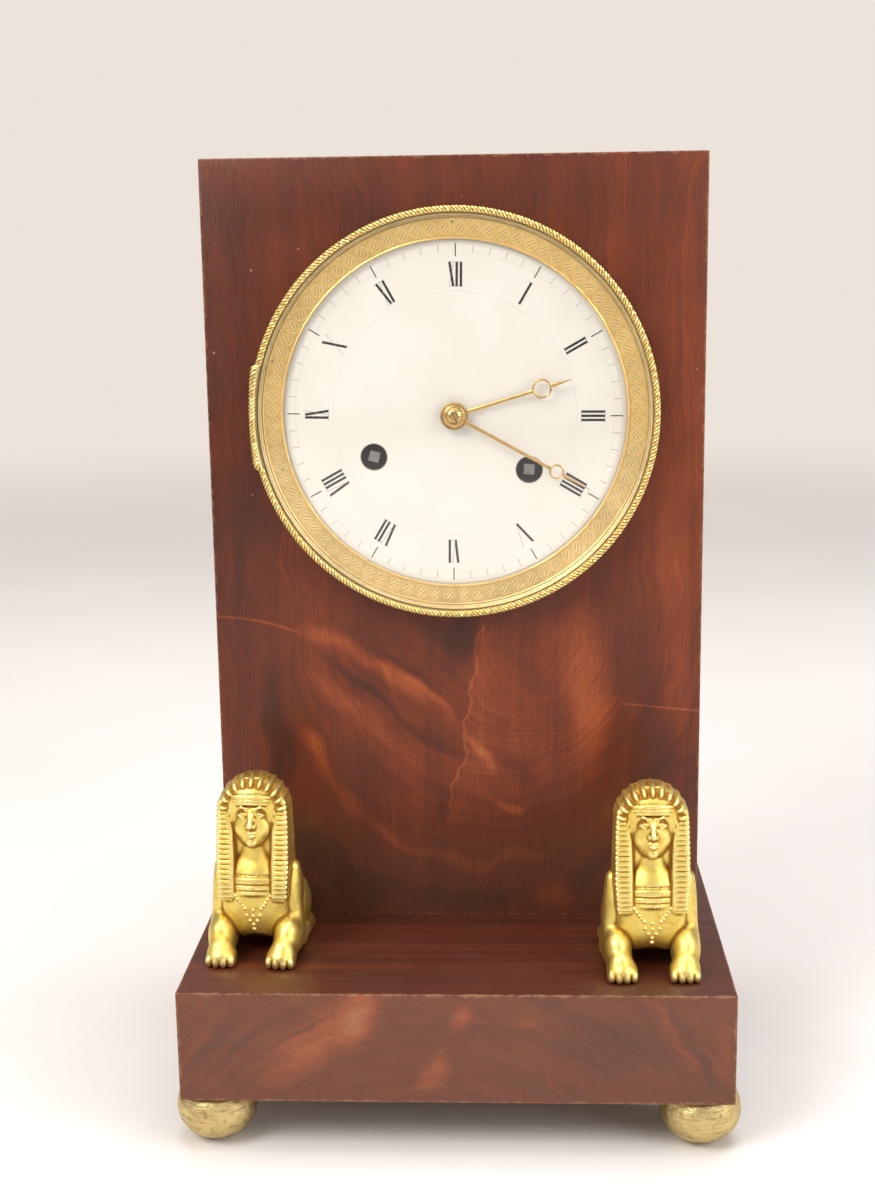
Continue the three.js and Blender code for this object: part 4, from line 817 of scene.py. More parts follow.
# metals
def metalBuild(finish):
    def build(graph):
        place = graph.place()
        x, y, z = graph.split(graph.dialPlace(place))
        touched = useGroup(graph, handling, Place=place)
        cloud = graph.noise(place, finish.get("cloud", 0.12), 4.0, 0.6, 0.4)
        colour = graph.mix(graph.smooth(cloud, 0.3, 0.7), finish["base"], finish["second"])
        elsewhere = graph.vector("ADD", place, (31, 7, 12))
        tarnish = graph.noise(elsewhere, finish.get("patch", 0.25), 5.0, 0.65, 0.8)
        stain = graph.times(graph.smooth(tarnish, 0.5, 0.68), finish["tarnish"])
        rough = graph.timesPlus(touched["Rough"], finish.get("smear", 0.14), finish["rough"])
        rough = graph.timesPlus(stain, 0.25, rough)
        if finish.get("hollowDirtAndShade"):
            # hollow comes with the mesh: 0 on raised places, 1 in hollows; hollows turn darker and browner, as dirt and
            # painted shade, and raised places paler, as a painted highlight
            hollow = graph.node("ShaderNodeAttribute", attribute_name="hollow").outputs["Fac"]
            deep = graph.times(graph.smooth(hollow, 0.51, 0.74), finish["hollowDirtAndShade"])
            paintedHighlight = graph.times(graph.smooth(hollow, 0.46, 0.2), 0.75)
            colour = graph.mix(paintedHighlight, colour, finish["paintedHighlight"])
            colour = graph.mix(deep, colour, finish["deep"])
            rough = graph.timesPlus(deep, 0.25, rough)
            rough = graph.timesPlus(paintedHighlight, -0.08, rough)
        colour = graph.mix(stain, colour, finish["stain"])
        grit = graph.times(graph.noise(place, 2.2, 3.0, 0.6), finish.get("fine", 0.12))
        height = graph.timesPlus(graph.noise(place, 0.35, 2.0), finish.get("dents", 0.4), grit)
        if finish.get("turned"):
            # fine rings left by the lathe, round the dial's axis
            rings = graph.noise(graph.join(graph.length(x, 0.0, z)), finish["turned"], 2.0)
            height = graph.timesPlus(rings, 0.25, height)
            rough = graph.timesPlus(rings, 0.08, rough)
        if finish.get("hatched"):
            # painted shade in the grooves of the engine turning and a painted highlight on its crests
            turns = graph.times(graph.over(graph.math("ARCTAN2", z, x), fullTurn), ring["ovals"])
            inner, outer = ring["bandInner"], ring["ridge"] - ring["bandGap"]
            reach = graph.minus(graph.length(x, 0.0, z), (inner + outer) / 2)
            relief = hatching(graph, turns, graph.over(reach, (outer - inner) / 2))
            groove = graph.times(graph.smooth(relief, 0.1, -0.9), finish["hatched"])
            colour = graph.mix(groove, colour, finish["stain"])
            crest = graph.times(graph.smooth(relief, 0.3, 1.0), finish["hatched"] * 0.6)
            colour = graph.mix(crest, colour, finish["crest"])
        if finish.get("arborShade"):
            # painted shade: near black round the winding arbors, where the plate lies in shadow behind the dial's holes
            near = [graph.length(graph.minus(x, a), 0.0, graph.minus(z, b)) for a, b in windingSpots]
            arborShadow = graph.smooth(graph.least(*near), finish["arborShade"] + 2.0, finish["arborShade"])
            colour = graph.mix(arborShadow, colour, finish["stain"])
            rough = graph.timesPlus(arborShadow, 0.4, rough)
        if finish.get("bands"):
            # fine level scratches of a turned ball
            x, y, z = graph.split(place)
            level = graph.join(graph.times(x, 0.06), graph.times(y, 0.06), z)
            lines = graph.noise(level, finish["bands"], 3.0, 0.7)
            height = graph.timesPlus(lines, 0.5, height)
            dark = graph.times(graph.smooth(lines, 0.52, 0.66), 0.55)
            colour = graph.mix(dark, colour, finish["stain"])
        return {"colour": colour, "rough": rough, "height": (height, finish.get("relief", 0.25))}
    return build


metalFinishes = {
    "gilt bronze": {
        "base": (0.79, 0.600, 0.135), "second": (0.85, 0.680, 0.190), "paintedHighlight": (0.97, 0.860, 0.400),
        "deep": (0.30, 0.130, 0.020), "stain": (0.55, 0.290, 0.060), "rough": 0.37, "tarnish": 0.42,
        "hollowDirtAndShade": 0.9, "patch": 0.16, "dents": 0.5, "fine": 0.25, "relief": 0.35,
    },
    "gilt bead": {
        "base": (0.95, 0.740, 0.330), "second": (0.90, 0.660, 0.240), "stain": (0.55, 0.310, 0.080),
        "rough": 0.22, "tarnish": 0.2,
    },
    "gilt ring": {
        "base": (0.86, 0.630, 0.260), "second": (0.80, 0.560, 0.210), "stain": (0.42, 0.270, 0.100),
        "rough": 0.27, "tarnish": 0.25, "patch": 0.10, "turned": 3.0,
    },
    "gilt guilloche": {
        "base": (0.87, 0.625, 0.240), "second": (0.81, 0.560, 0.200), "stain": (0.40, 0.235, 0.075),
        "crest": (1.0, 0.850, 0.500), "rough": 0.34, "tarnish": 0.15, "patch": 0.10, "hatched": 0.62,
    },
    "gilt rope": {
        "base": (0.84, 0.640, 0.240), "second": (0.90, 0.720, 0.320), "stain": (0.45, 0.290, 0.090),
        "rough": 0.33, "tarnish": 0.25, "patch": 0.3,
    },
    # painted shade: the rope core seen between the strands
    "gilt groove shade": {
        "base": (0.20, 0.125, 0.040), "second": (0.16, 0.095, 0.030), "stain": (0.09, 0.050, 0.020),
        "rough": 0.55, "tarnish": 0.5, "patch": 0.3,
    },
    # dark: dirt on the hinge and painted shade, where the hinge sits back behind the rope
    "hinge brass with dirt and painted shade": {
        "base": (0.24, 0.145, 0.060), "second": (0.18, 0.105, 0.045), "stain": (0.09, 0.050, 0.025),
        "rough": 0.60, "tarnish": 0.5, "patch": 0.3,
    },
    "gilt hollow": {
        "base": (0.74, 0.610, 0.330), "second": (0.68, 0.540, 0.270), "stain": (0.38, 0.290, 0.140),
        "rough": 0.36, "tarnish": 0.3, "patch": 0.08, "turned": 2.5,
    },
    "gilt hands": {
        "base": (0.68, 0.465, 0.190), "second": (0.57, 0.360, 0.130), "stain": (0.28, 0.150, 0.060),
        "rough": 0.25, "tarnish": 0.4, "patch": 0.4,
    },
    "worn brass": {
        "base": (0.72, 0.570, 0.260), "second": (0.60, 0.460, 0.200), "stain": (0.24, 0.175, 0.080),
        "rough": 0.27, "tarnish": 0.6, "patch": 0.3, "cloud": 0.2, "smear": 0.3, "dents": 1.0, "relief": 0.5,
        "bands": 1.6,
    },
    "movement brass": {
        "base": (0.72, 0.500, 0.190), "second": (0.78, 0.560, 0.230), "stain": (0.40, 0.250, 0.090),
        "rough": 0.30, "tarnish": 0.3, "patch": 0.12,
    },
    # its near-black stain colour is the painted shade round the winding arbors
    "front plate brass": {
        "base": (0.72, 0.500, 0.190), "second": (0.78, 0.560, 0.230), "stain": (0.020, 0.016, 0.013),
        "rough": 0.34, "tarnish": 0.2, "patch": 0.12, "arborShade": 7.0,
    },
    "brown steel": {
        "base": (0.20, 0.100, 0.070), "second": (0.28, 0.150, 0.100), "stain": (0.060, 0.025, 0.018),
        "rough": 0.38, "tarnish": 0.5, "patch": 0.6,
    },
    "movement steel": {
        "base": (0.33, 0.315, 0.305), "second": (0.24, 0.220, 0.210), "stain": (0.16, 0.085, 0.050),
        "rough": 0.33, "tarnish": 0.45, "patch": 0.5,
    },
    "blued steel": {
        "base": (0.030, 0.040, 0.110), "second": (0.045, 0.045, 0.090), "stain": (0.09, 0.060, 0.040),
        "rough": 0.26, "tarnish": 0.3, "patch": 0.4,
    },
    "silvered bell metal": {
        "base": (0.56, 0.450, 0.270), "second": (0.62, 0.500, 0.310), "stain": (0.33, 0.230, 0.120),
        "rough": 0.26, "tarnish": 0.4, "patch": 0.08, "turned": 0.9,
    },
}
metals = {name: newMaterial(name, metalBuild(finish), metal=1.0) for name, finish in metalFinishes.items()}


# CAD solids that stay and only get their metal
keptSolids = {
    "movement brass": (
        "back_plate pillar_1 pillar_2 pillar_3 pillar_4 strike_barrel going_barrel intermediate_wheel centre_arbor "
        "minute_wheel hour_wheel third_wheel escape_wheel suspension_cock strike_second_wheel count_wheel pin_wheel "
        "bell_stand strap_left strap_right rear_hinge_pin pendulum_bob"
    ),
    "hinge brass with dirt and painted shade": "bezel_hinge_pin",
    "front plate brass": "front_plate",
    "movement steel": "strike_winding_arbor going_winding_arbor anchor pendulum_rod hammer",
    "blued steel": "strap_screw_left strap_screw_right",
}
for metalName, nodeNames in keptSolids.items():
    for nodeName in nodeNames.split():
        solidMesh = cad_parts[nodeName].data
        if not len(solidMesh.materials):
            solidMesh.materials.append(metals[metalName])
        for i in range(len(solidMesh.materials)):
            solidMesh.materials[i] = metals[metalName]
print("stage: metals")


# geometry nodes
socketKinds = {tuple: "NodeSocketVector", float: "NodeSocketFloat", int: "NodeSocketInt"}


def geometryTree(name, inputs, build):
    # inputs gives each socket's first value, whose type is the socket's kind
    tree = bpy.data.node_groups.new(name, "GeometryNodeTree")
    tree.interface.new_socket(name="Geometry", in_out="INPUT", socket_type="NodeSocketGeometry")
    for socket, value in inputs.items():
        made = tree.interface.new_socket(name=socket, in_out="INPUT", socket_type=socketKinds[type(value)])
        made.default_value = value
    tree.interface.new_socket(name="Finish", in_out="INPUT", socket_type="NodeSocketMaterial")
    tree.interface.new_socket(name="Geometry", in_out="OUTPUT", socket_type="NodeSocketGeometry")
    graph = Graph(tree)
    source = graph.node("NodeGroupInput").outputs
    shape = build(graph, source)
    real = graph.node("GeometryNodeRealizeInstances", {"Geometry": shape}).outputs[0]
    made = graph.node("GeometryNodeSetMaterial", {"Geometry": real, "Material": source["Finish"]}).outputs[0]
    result = graph.node("NodeGroupOutput")
    tree.links.new(made, result.inputs[0])
    return tree


def grown(name, tree, values, item=None):
    piece = item or newPiece(name, [], [])
    piece.name = name
    grower = piece.modifiers.new("grow", "NODES")
    grower.node_group = tree
    sockets = {socket.name: socket.identifier for socket in tree.interface.items_tree if socket.in_out == "INPUT"}
    for key, value in values.items():
        grower[sockets[key]] = value
    return bake(piece)


def setRound(graph, shape, radius, around, y, centre):
    # the shape's points, set at their radius and angle round an axis along Y
    x = graph.times(radius, graph.math("COSINE", around))
    z = graph.times(radius, graph.math("SINE", around))
    spot = graph.vector("ADD", graph.join(x, y, z), centre)
    return graph.node("GeometryNodeSetPosition", {"Geometry": shape, "Position": spot}).outputs[0]


def ropeBuild(graph, given):
    # one strand of a twisted rope, wound round a circle whose axis is Y
    points = graph.times(given["Twists"], given["Steps"])
    circle = graph.node("GeometryNodeCurvePrimitiveCircle", {"Resolution": points, "Radius": 1.0}).outputs[0]
    index = graph.node("GeometryNodeInputIndex").outputs[0]
    around = graph.times(graph.over(index, points), fullTurn)
    wound = graph.timesPlus(around, given["Twists"], given["Start"])
    # over the hinge the rope runs almost straight, so it stands out most at the ends of that run
    atHinge = graph.smooth(graph.times(graph.math("COSINE", around), -1.0), 0.9655, 0.9705)
    flat = graph.timesPlus(graph.math("POWER", graph.math("SINE", around), 2.0), 12.0, 0.3)
    course = graph.plus(graph.times(graph.times(atHinge, flat), given["Bulge"]), given["Radius"])
    reach = graph.timesPlus(graph.math("COSINE", wound), given["Lay"], course)
    y = graph.times(graph.math("SINE", wound), given["Lay"])
    strand = setRound(graph, circle, reach, around, y, given["Centre"])
    section = {"Resolution": 7, "Radius": given["Thickness"]}
    section = graph.node("GeometryNodeCurvePrimitiveCircle", section).outputs[0]
    return graph.node("GeometryNodeCurveToMesh", {"Curve": strand, "Profile Curve": section}).outputs[0]


def roundBuild(graph, given):
    # the given piece, repeated round an axis along Y through the centre
    home = graph.vector("SCALE", given["Centre"], -1.0)
    item = graph.node("GeometryNodeTransform", {"Geometry": given["Geometry"], "Translation": home}).outputs[0]
    points = graph.node("GeometryNodePoints", {"Count": given["Count"]}).outputs[0]
    index = graph.node("GeometryNodeInputIndex").outputs[0]
    angle = graph.times(index, graph.over(fullTurn, given["Count"]))
    turn = graph.node("FunctionNodeEulerToRotation", {0: graph.join(0.0, angle, 0.0)}).outputs[0]
    placed = {"Points": points, "Instance": item, "Rotation": turn}
    copies = graph.node("GeometryNodeInstanceOnPoints", placed).outputs[0]
    return graph.node("GeometryNodeTransform", {"Geometry": copies, "Translation": given["Centre"]}).outputs[0]


def turningBuild(graph, given):
    # engine turning: a strip round the axis, cut with the hatching
    sides = graph.plus(given["Around"], 1.0)
    values = {"Size X": 1.0, "Size Y": 1.0, "Vertices X": sides, "Vertices Y": given["Across"]}
    sheet = graph.node("GeometryNodeMeshGrid", values).outputs[0]
    u, v, w = graph.split(graph.node("GeometryNodeInputPosition").outputs[0])
    around = graph.times(graph.plus(u, 0.5), fullTurn)
    share = graph.plus(v, 0.5)
    radius = graph.timesPlus(graph.minus(given["Outer"], given["Inner"]), share, given["Inner"])
    level = graph.timesPlus(graph.minus(given["Outer Y"], given["Inner Y"]), share, given["Inner Y"])
    t = graph.times(v, 2.0)
    relief = hatching(graph, graph.times(graph.over(around, fullTurn), given["Count"]), t)
    edge = graph.minus(1.0, graph.math("POWER", graph.math("ABSOLUTE", t), 8.0))
    y = graph.minus(level, graph.times(graph.times(relief, edge), given["Relief"]))
    strip = setRound(graph, sheet, radius, around, y, given["Centre"])
    return graph.node("GeometryNodeMergeByDistance", {"Geometry": strip, "Distance": 1e-6}).outputs[0]


origin = (0.0, 0.0, 0.0)
ropeInputs = {
    "Centre": origin, "Radius": 0.07, "Lay": 0.0006, "Thickness": 0.0006, "Twists": 74, "Steps": 14, "Start": 0.0,
    "Bulge": 0.0,
}
turningInputs = {
    "Centre": origin, "Inner": 0.06, "Outer": 0.066, "Inner Y": 0.0, "Outer Y": 0.0, "Count": 80, "Around": 1920,
    "Across": 25, "Relief": 0.0001,
}
ropeTree = geometryTree("rope strand", ropeInputs, ropeBuild)
roundTree = geometryTree("repeated round an axis", {"Centre": origin, "Count": 60}, roundBuild)
turningTree = geometryTree("engine turning", turningInputs, turningBuild)


def arcOf(centreR, centreY, radius, start, stop, steps):
    turns = [math.radians(start + (stop - start) * i / steps) for i in range(steps + 1)]
    return [(centreR + radius * math.cos(a), centreY + radius * math.sin(a)) for a in turns]


# gilt ring round the dial: hollow moulding, ridge, engine-turned band, milled inner edge, three fixing pins
def makeRing(given):
    outer, lip, ridge, back = given["outer"], given["lip"], given["ridge"], given["back"]
    inner, level = given["bandInner"], given["bandInnerY"]
    start = outer - given["lipWidth"]
    steps = 14
    shares = [i / steps for i in range(1, steps + 1)]
    hollow = [(start + (ridge + 0.35 - start) * s, lip + 0.95 * math.sin(s * math.pi * 0.62)) for s in shares]
    profile = [(outer, back), (outer, lip + 0.15), (outer - 0.15, lip)] + hollow + [(ridge, back)]
    body = turnedPiece("hollow_moulding", profile, given["sides"], material=metals["gilt hollow"])
    bead = arcOf(ridge, given["ridgeY"] + 0.1, given["beadRadius"], -20, -175, 8)
    milling = arcOf(inner - 0.5, level + 0.05, given["millRadius"], 0, -180, 6)
    profile = [(ridge + 0.36, back)] + bead + [(inner, level + 0.12)] + milling + [(inner - given["milled"], back)]
    flat = turnedPiece("band", profile, given["sides"], material=metals["gilt ring"])
    values = {
        "Centre": dialCentre, "Inner": inner * mm, "Outer": (ridge - given["bandGap"]) * mm,
        "Inner Y": level * mm, "Outer Y": (given["ridgeY"] + 0.05) * mm, "Count": given["ovals"],
        "Relief": given["relief"] * mm, "Finish": metals["gilt guilloche"],
    }
    turning = grown("engine_turning", turningTree, values)
    # one mill of the inner edge, a small slanted roof, repeated
    points = [fromDial(x, level - 0.2 + y, inner - 0.5 + z) for x, z, y in given["millCorners"]]
    faces = [(0, 4, 5, 3), (4, 1, 2, 5), (0, 1, 4), (3, 5, 2), (0, 3, 2, 1)]
    mill = outward(newPiece("mill", points, faces, smooth=False))
    values = {"Centre": dialCentre, "Count": given["mills"], "Finish": metals["gilt bead"]}
    mills = grown("milled_edge", roundTree, values, mill)
    parts = [body, flat, turning, mills]
    for angle, reach in given["pins"]:
        a = math.radians(angle)
        spot = fromDial(reach * math.cos(a), given["pinY"], reach * math.sin(a))
        parts.append(turnedPiece("pin", given["pinHead"], 16, spot, material=metals["movement steel"]))
    assemble("gilt_ring", parts, 30, "case", ["guilloche_ring"])


makeRing(ring)
print("stage: gilt ring")


# hinged bezel: wall, twisted rope, knuckles, glass
rim = {
    "inner": 69.6, "outer": 71.3, "back": -1.8, "bead": 70.45, "beadY": -6.8, "lay": 0.72, "strand": 0.42,
    "core": 0.70, "coreTwists": 30, "strands": 3, "twists": 112, "bulge": 1.15, "sides": 256,
    "shoulderY": -6.2, "beadRadius": 0.6, "lipY": -5.55, "leafX": -69.9, "leafY": -3.6,
}
seat = {
    # radius and distance from the front of the case
    "profile": (
        (61.9, -1.5), (70.4, -1.5), (70.6, -1.35), (70.6, -0.3), (63.1, -0.3), (63.1, 12.7), (45.9, 12.7),
        (45.9, 11.2), (61.9, 11.2),
    ),
    "sides": 192, "leafX": -69.4, "leafFront": -1.5, "leafBack": -0.3,
}
hinge = {"x": -71.4, "y": -2.4, "radius": 0.95, "half": 13.8, "halfFixed": 5.5, "gap": 0.3}


def dialBox(low, high, bevel=0.0, material=None):
    # a hinge leaf, its corners in millimetres from the dial
    return boxPiece("leaf", fromDial(*low), fromDial(*high), bevel * mm, material)


def makeRim(given, joint):
    bead, inner, back = given["bead"], given["inner"], given["back"]
    wall = [(given["outer"], back), (given["outer"], given["shoulderY"])]
    wall += arcOf(bead, given["beadY"], given["beadRadius"], 0, -180, 8)
    wall += [(inner - 0.3, given["lipY"] - 0.05), (inner, given["lipY"]), (inner, back)]
    # painted shade: the wall takes the darker gilt hollow finish, as its inner side would lie in shadow
    pieces = [turnedPiece("rim_wall", wall, given["sides"], material=metals["gilt hollow"])]
    course = {"Centre": fromDial(y=given["beadY"]), "Radius": bead * mm, "Bulge": given["bulge"] * mm}
    # the core between the strands is near black: painted shade
    core = {
        "Lay": 0.0, "Thickness": given["core"] * mm, "Twists": given["coreTwists"], "Finish": metals["gilt groove shade"],
    }
    pieces.append(grown("core", ropeTree, {**course, **core}))
    for i in range(given["strands"]):
        values = {
            "Lay": given["lay"] * mm, "Thickness": given["strand"] * mm, "Twists": given["twists"],
            "Start": fullTurn * i / given["strands"], "Finish": metals["gilt rope"],
        }
        pieces.append(grown("strand", ropeTree, {**course, **values}))
    a, b, r = joint["halfFixed"] + joint["gap"], joint["half"], joint["radius"]
    half = [(0, a), (r - 0.1, a), (r, a + 0.1), (r, b - 0.4), (r - 0.3, b), (0, b)]
    # knuckles and leaves in the dark hinge brass: dirt and painted shade
    for side in (-1, 1):
        profile = [(reach, side * h) for reach, h in half]
        at = fromDial(joint["x"], joint["y"])
        pieces.append(turnedPiece("knuckle", profile, 32, at, axis="z", material=metals["hinge brass with dirt and painted shade"]))
        low, high = sorted((side * a, side * b))
        leafHigh = (given["leafX"], joint["y"] - 0.2, high - 0.8 * (side > 0))
        pieces.append(dialBox((joint["x"], given["leafY"], low), leafHigh, 0.3, metals["hinge brass with dirt and painted shade"]))
    assemble("bezel_rope_rim", pieces, 40, "front_bezel", ["bezel_rim"])


def makeSeat(given, joint):
    back = (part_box("bezel_seat")[1].y - caseFrontY) / mm
    body = turnedPiece("seat", [(r, min(y, back)) for r, y in given["profile"]], given["sides"])
    h, r = joint["halfFixed"], joint["radius"]
    profile = [(0, -h), (r, -h), (r, -h + 0.1), (r, h - 0.1), (r, h), (0, h)]
    knuckle = turnedPiece("knuckle", profile, 32, fromDial(joint["x"], joint["y"]), axis="z")
    leaf = dialBox((joint["x"], given["leafFront"], -h), (given["leafX"], given["leafBack"], h))
    assemble("dial_seat", [body, knuckle, leaf], 30, "case", ["bezel_seat"], metals["movement brass"])


def glassBuild(graph):
    place = graph.place()
    smear = graph.noise(place, 0.03, 3.0, 0.5)
    return {"rough": graph.smooth(smear, 0.45, 0.75, 0.0, 0.05)}


def clearGlass(name, build):
    # the pane is left out for shadow and diffuse rays, so the light reaches what is behind it
    material = newMaterial(name, build, colour=(0.985, 0.99, 0.985, 1), transmission=1.0, ior=1.45, specular=0.5)
    tree = material.node_tree
    graph = Graph(tree)
    shader = next(n for n in tree.nodes if n.type == "BSDF_PRINCIPLED")
    result = next(n for n in tree.nodes if n.type == "OUTPUT_MATERIAL")
    ray = graph.node("ShaderNodeLightPath").outputs
    clear = graph.node("ShaderNodeBsdfTransparent").outputs[0]
    passing = graph.most(ray["Is Shadow Ray"], ray["Is Diffuse Ray"])
    mix = graph.node("ShaderNodeMixShader", {0: passing, 1: shader.outputs[0], 2: clear})
    tree.links.new(mix.outputs[0], result.inputs[0])
    return material


oldGlass = clearGlass("old glass", glassBuild)
convex = {"outer": 68.9, "inner": 67.8, "front": -5.9, "back": -4.25, "dome": 9.0, "edge": 69.4, "steps": 14}


def makeGlass(given):
    def curve(radius, y):
        shares = [i / given["steps"] for i in range(given["steps"] + 1)]
        return [(s * radius, y - given["dome"] * (1 - s * s)) for s in shares]
    outer, inner = curve(given["outer"], given["front"]), curve(given["inner"], given["back"])
    edge = [(given["outer"] + 0.05, -5.36), (given["edge"], -5.35), (given["edge"], given["back"])]
    glass = turnedPiece("convex_glass", outer + edge + inner[::-1], 160)
    finishPiece(glass, "front_bezel", oldGlass, nodes=["dial_glass"])


makeRim(rim, hinge)
makeSeat(seat, hinge)
makeGlass(convex)
print("stage: bezel and glass")


# back of the clock: bezel, glazed door and the bell behind it
rear = {
    "hingeX": -59.6, "hingeY": 95.3, "knuckle": 1.5, "half": 17.0, "halfFixed": 5.5, "gap": 0.3, "pinHole": 0.75,
    "screwReach": 51.4, "screw": 1.5, "screwFrom": 85, "screwTo": 89, "strapAngle": -25, "sides": 192,
    # profiles: radius and distance from the front of the case
    "bezel": (
        (53.7, 93.3), (53.9, 93.5), (57.9, 93.5), (58.05, 93.35), (58.55, 93.35), (58.7, 93.5), (60.5, 93.5),
        (60.9, 93.3), (61.0, 92.95), (61.0, 92.3), (54.7, 92.3), (54.7, 86.5), (48.7, 86.5), (48.7, 87.7), (53.7, 87.7),
    ),
    "door": (
        (50.0, 96.35), (50.25, 96.6), (51.3, 96.6), (51.5, 96.4), (52.3, 96.3), (54.2, 96.45), (54.6, 96.6),
        (56.8, 96.6), (57.35, 96.35), (57.5, 95.9), (57.5, 93.8), (52.4, 93.8), (52.4, 95.4), (50.0, 95.4),
    ),
    "pane": ((0, 93.95), (51.9, 93.95), (52.2, 94.2), (52.2, 95.0), (51.9, 95.25), (0, 95.25)),
}


def rearKnuckle(given, low, high):
    r, hole = given["knuckle"], given["pinHole"]
    profile = [(hole, low), (r - 0.15, low), (r, low + 0.15), (r, high - 0.15), (r - 0.15, high), (hole, high)]
    return turnedPiece("knuckle", profile, 32, fromDial(given["hingeX"], given["hingeY"]), axis="z")


def makeRearBezel(given):
    plate = turnedPiece("rear_ring", given["bezel"], given["sides"])
    screw, start, end = given["screw"], given["screwFrom"], given["screwTo"]
    bore = [(0, start), (screw, start), (screw, end), (0, end)]
    for angle in (given["strapAngle"], 180 - given["strapAngle"]):
        a = math.radians(angle)
        spot = fromDial(given["screwReach"] * math.cos(a), 0, given["screwReach"] * math.sin(a))
        plate = sliced(plate, turnedPiece("cutter", bore, 24, spot))
    x, h = given["hingeX"], given["halfFixed"]
    leaf = dialBox((x - 0.6, 92.9, -h), (x + 0.6, given["hingeY"] - 0.75, h), 0.1)
    parts = [plate, rearKnuckle(given, -h, h), leaf]
    assemble("rear_bezel_ring", parts, 30, "case", ["rear_bezel"], metals["movement brass"])


def makeRearDoor(given):
    parts = [turnedPiece("rim", given["door"], given["sides"])]
    for side in (-1, 1):
        low, high = sorted((side * (given["halfFixed"] + given["gap"]), side * given["half"]))
        parts.append(rearKnuckle(given, low, high))
        parts.append(dialBox((given["hingeX"] + 0.75, 95.4, low), (-53.9, 96.6, high), 0.1))
    assemble("rear_door_rim", parts, 30, "rear_door", ["rear_door"], metals["movement brass"])
    pane = turnedPiece("rear_pane", given["pane"], 160)
    finishPiece(pane, "rear_door", oldGlass, nodes=["rear_door_glass"])


bell = {"outer": (31.0, 20.0), "inner": (29.4, 18.4), "mouth": 56, "hole": 1.35, "crown": (74.35, 75.83), "steps": 18}


def makeBell(given):
    def curve(radius, depth):
        turns = [quarter * i / given["steps"] for i in range(given["steps"])]
        return [(radius * math.cos(a), given["mouth"] + depth * math.sin(a)) for a in turns]
    inside, outside = curve(*given["inner"]), curve(*given["outer"])
    profile = [(given["hole"], given["crown"][0])] + inside[::-1] + outside + [(given["hole"], given["crown"][1])]
    shell = turnedPiece("bell_shell", profile, 128, angle=50)
    finishPiece(shell, "case", metals["silvered bell metal"], nodes=["bell"])


makeRearBezel(rear)
makeRearDoor(rear)
makeBell(bell)
print("stage: back")


# enamel dial with painted numerals
dial = {
    "radius": 61.6, "dome": 3.0, "edge": 0.9, "thick": 1.5, "centreHole": 3.1, "windingHole": 4.6,
    "turn": math.radians(0.9), "steps": 26,
}


def domeY(r, lift=0.0):
    return -(dial["edge"] + dial["dome"] * (1 - (r / dial["radius"]) ** 2)) - lift


def enamelBuild(graph):
    place = graph.place()
    cloud = graph.noise(place, 0.03, 4.0, 0.55)
    colour = graph.ramp(cloud, [(0.3, (0.700, 0.668, 0.595)), (0.7, (0.760, 0.738, 0.675))])
    x, y, z = graph.split(graph.dialPlace(place))
    away = graph.length(x, 0.0, z)
    # painted shade: grey at the rim, next to the ring; brown edges round the three holes, a few fine stains and
    # hairlines
    colour = graph.mix(graph.times(graph.smooth(away, 57.5, 61.5), 0.35), colour, (0.50, 0.47, 0.42))
    holes = graph.smooth(away, 4.3, 3.1)
    for a, b in windingSpots:
        gap = graph.length(graph.minus(x, a), 0.0, graph.minus(z, b))
        holes = graph.most(holes, graph.smooth(gap, 5.1, 4.6))
    colour = graph.mix(graph.times(holes, 0.75), colour, (0.16, 0.09, 0.05))
    stain = graph.smooth(graph.stretched(place, (0.25, 0.25, 0.06), 3.0, 0.6), 0.68, 0.78)
    colour = graph.mix(graph.times(stain, 0.12), colour, (0.55, 0.42, 0.28))
    hair = graph.fade(graph.minus(graph.noise(place, 0.10, 3.0, 0.6), 0.47), 0.0, 0.0012)
    colour = graph.mix(graph.times(hair, 0.18), colour, (0.35, 0.30, 0.24))
    rough = graph.smooth(cloud, 0.3, 0.7, 0.16, 0.24)
    return {"colour": colour, "rough": rough, "height": (graph.noise(place, 0.18, 2.0), 0.08)}


def paintBuild(dark, light):
    def build(graph):
        wear = graph.noise(graph.place(), 1.4, 3.0, 0.6)
        colour = graph.mix(graph.smooth(wear, 0.45, 0.75), dark, light)
        return {"colour": colour, "rough": graph.smooth(wear, 0.4, 0.7, 0.25, 0.4)}
    return build


enamel = newMaterial("white enamel", enamelBuild, coat=0.6, coatRough=0.06)
paints = {
    "black": newMaterial("black numeral paint", paintBuild((0.012, 0.012, 0.012), (0.03, 0.03, 0.028))),
    "grey": newMaterial("thin tick paint", paintBuild((0.16, 0.155, 0.14), (0.42, 0.40, 0.37))),
    "faint": newMaterial("faint circle paint", paintBuild((0.52, 0.50, 0.46), (0.70, 0.68, 0.63))),
}


def makeDial(given):
    radius, steps = given["radius"], given["steps"]
    front = [(radius * i / steps, domeY(radius * i / steps)) for i in range(steps + 1)]
    back = [(r, y + given["thick"]) for r, y in reversed(front)]
    edgeY = front[-1][1]
    edge = [(radius - 0.25, edgeY), (radius, edgeY + 0.25), (radius, back[0][1] - 0.1)]
    plate = turnedPiece("dial", front[:-1] + edge + back[1:], 200)
    for x, z, hole in [(0, 0, given["centreHole"])] + [(x, z, given["windingHole"]) for x, z in windingSpots]:
        cutter = turnedPiece("cutter", [(0, -9), (hole, -9), (hole, 5), (0, 5)], 64, fromDial(x, 0, z))
        plate = sliced(plate, cutter)
    plate.name = "enamel_dial_plate"
    shade(plate, angle=32)
    finishPiece(plate, "case", enamel, nodes=["enamel_dial"])


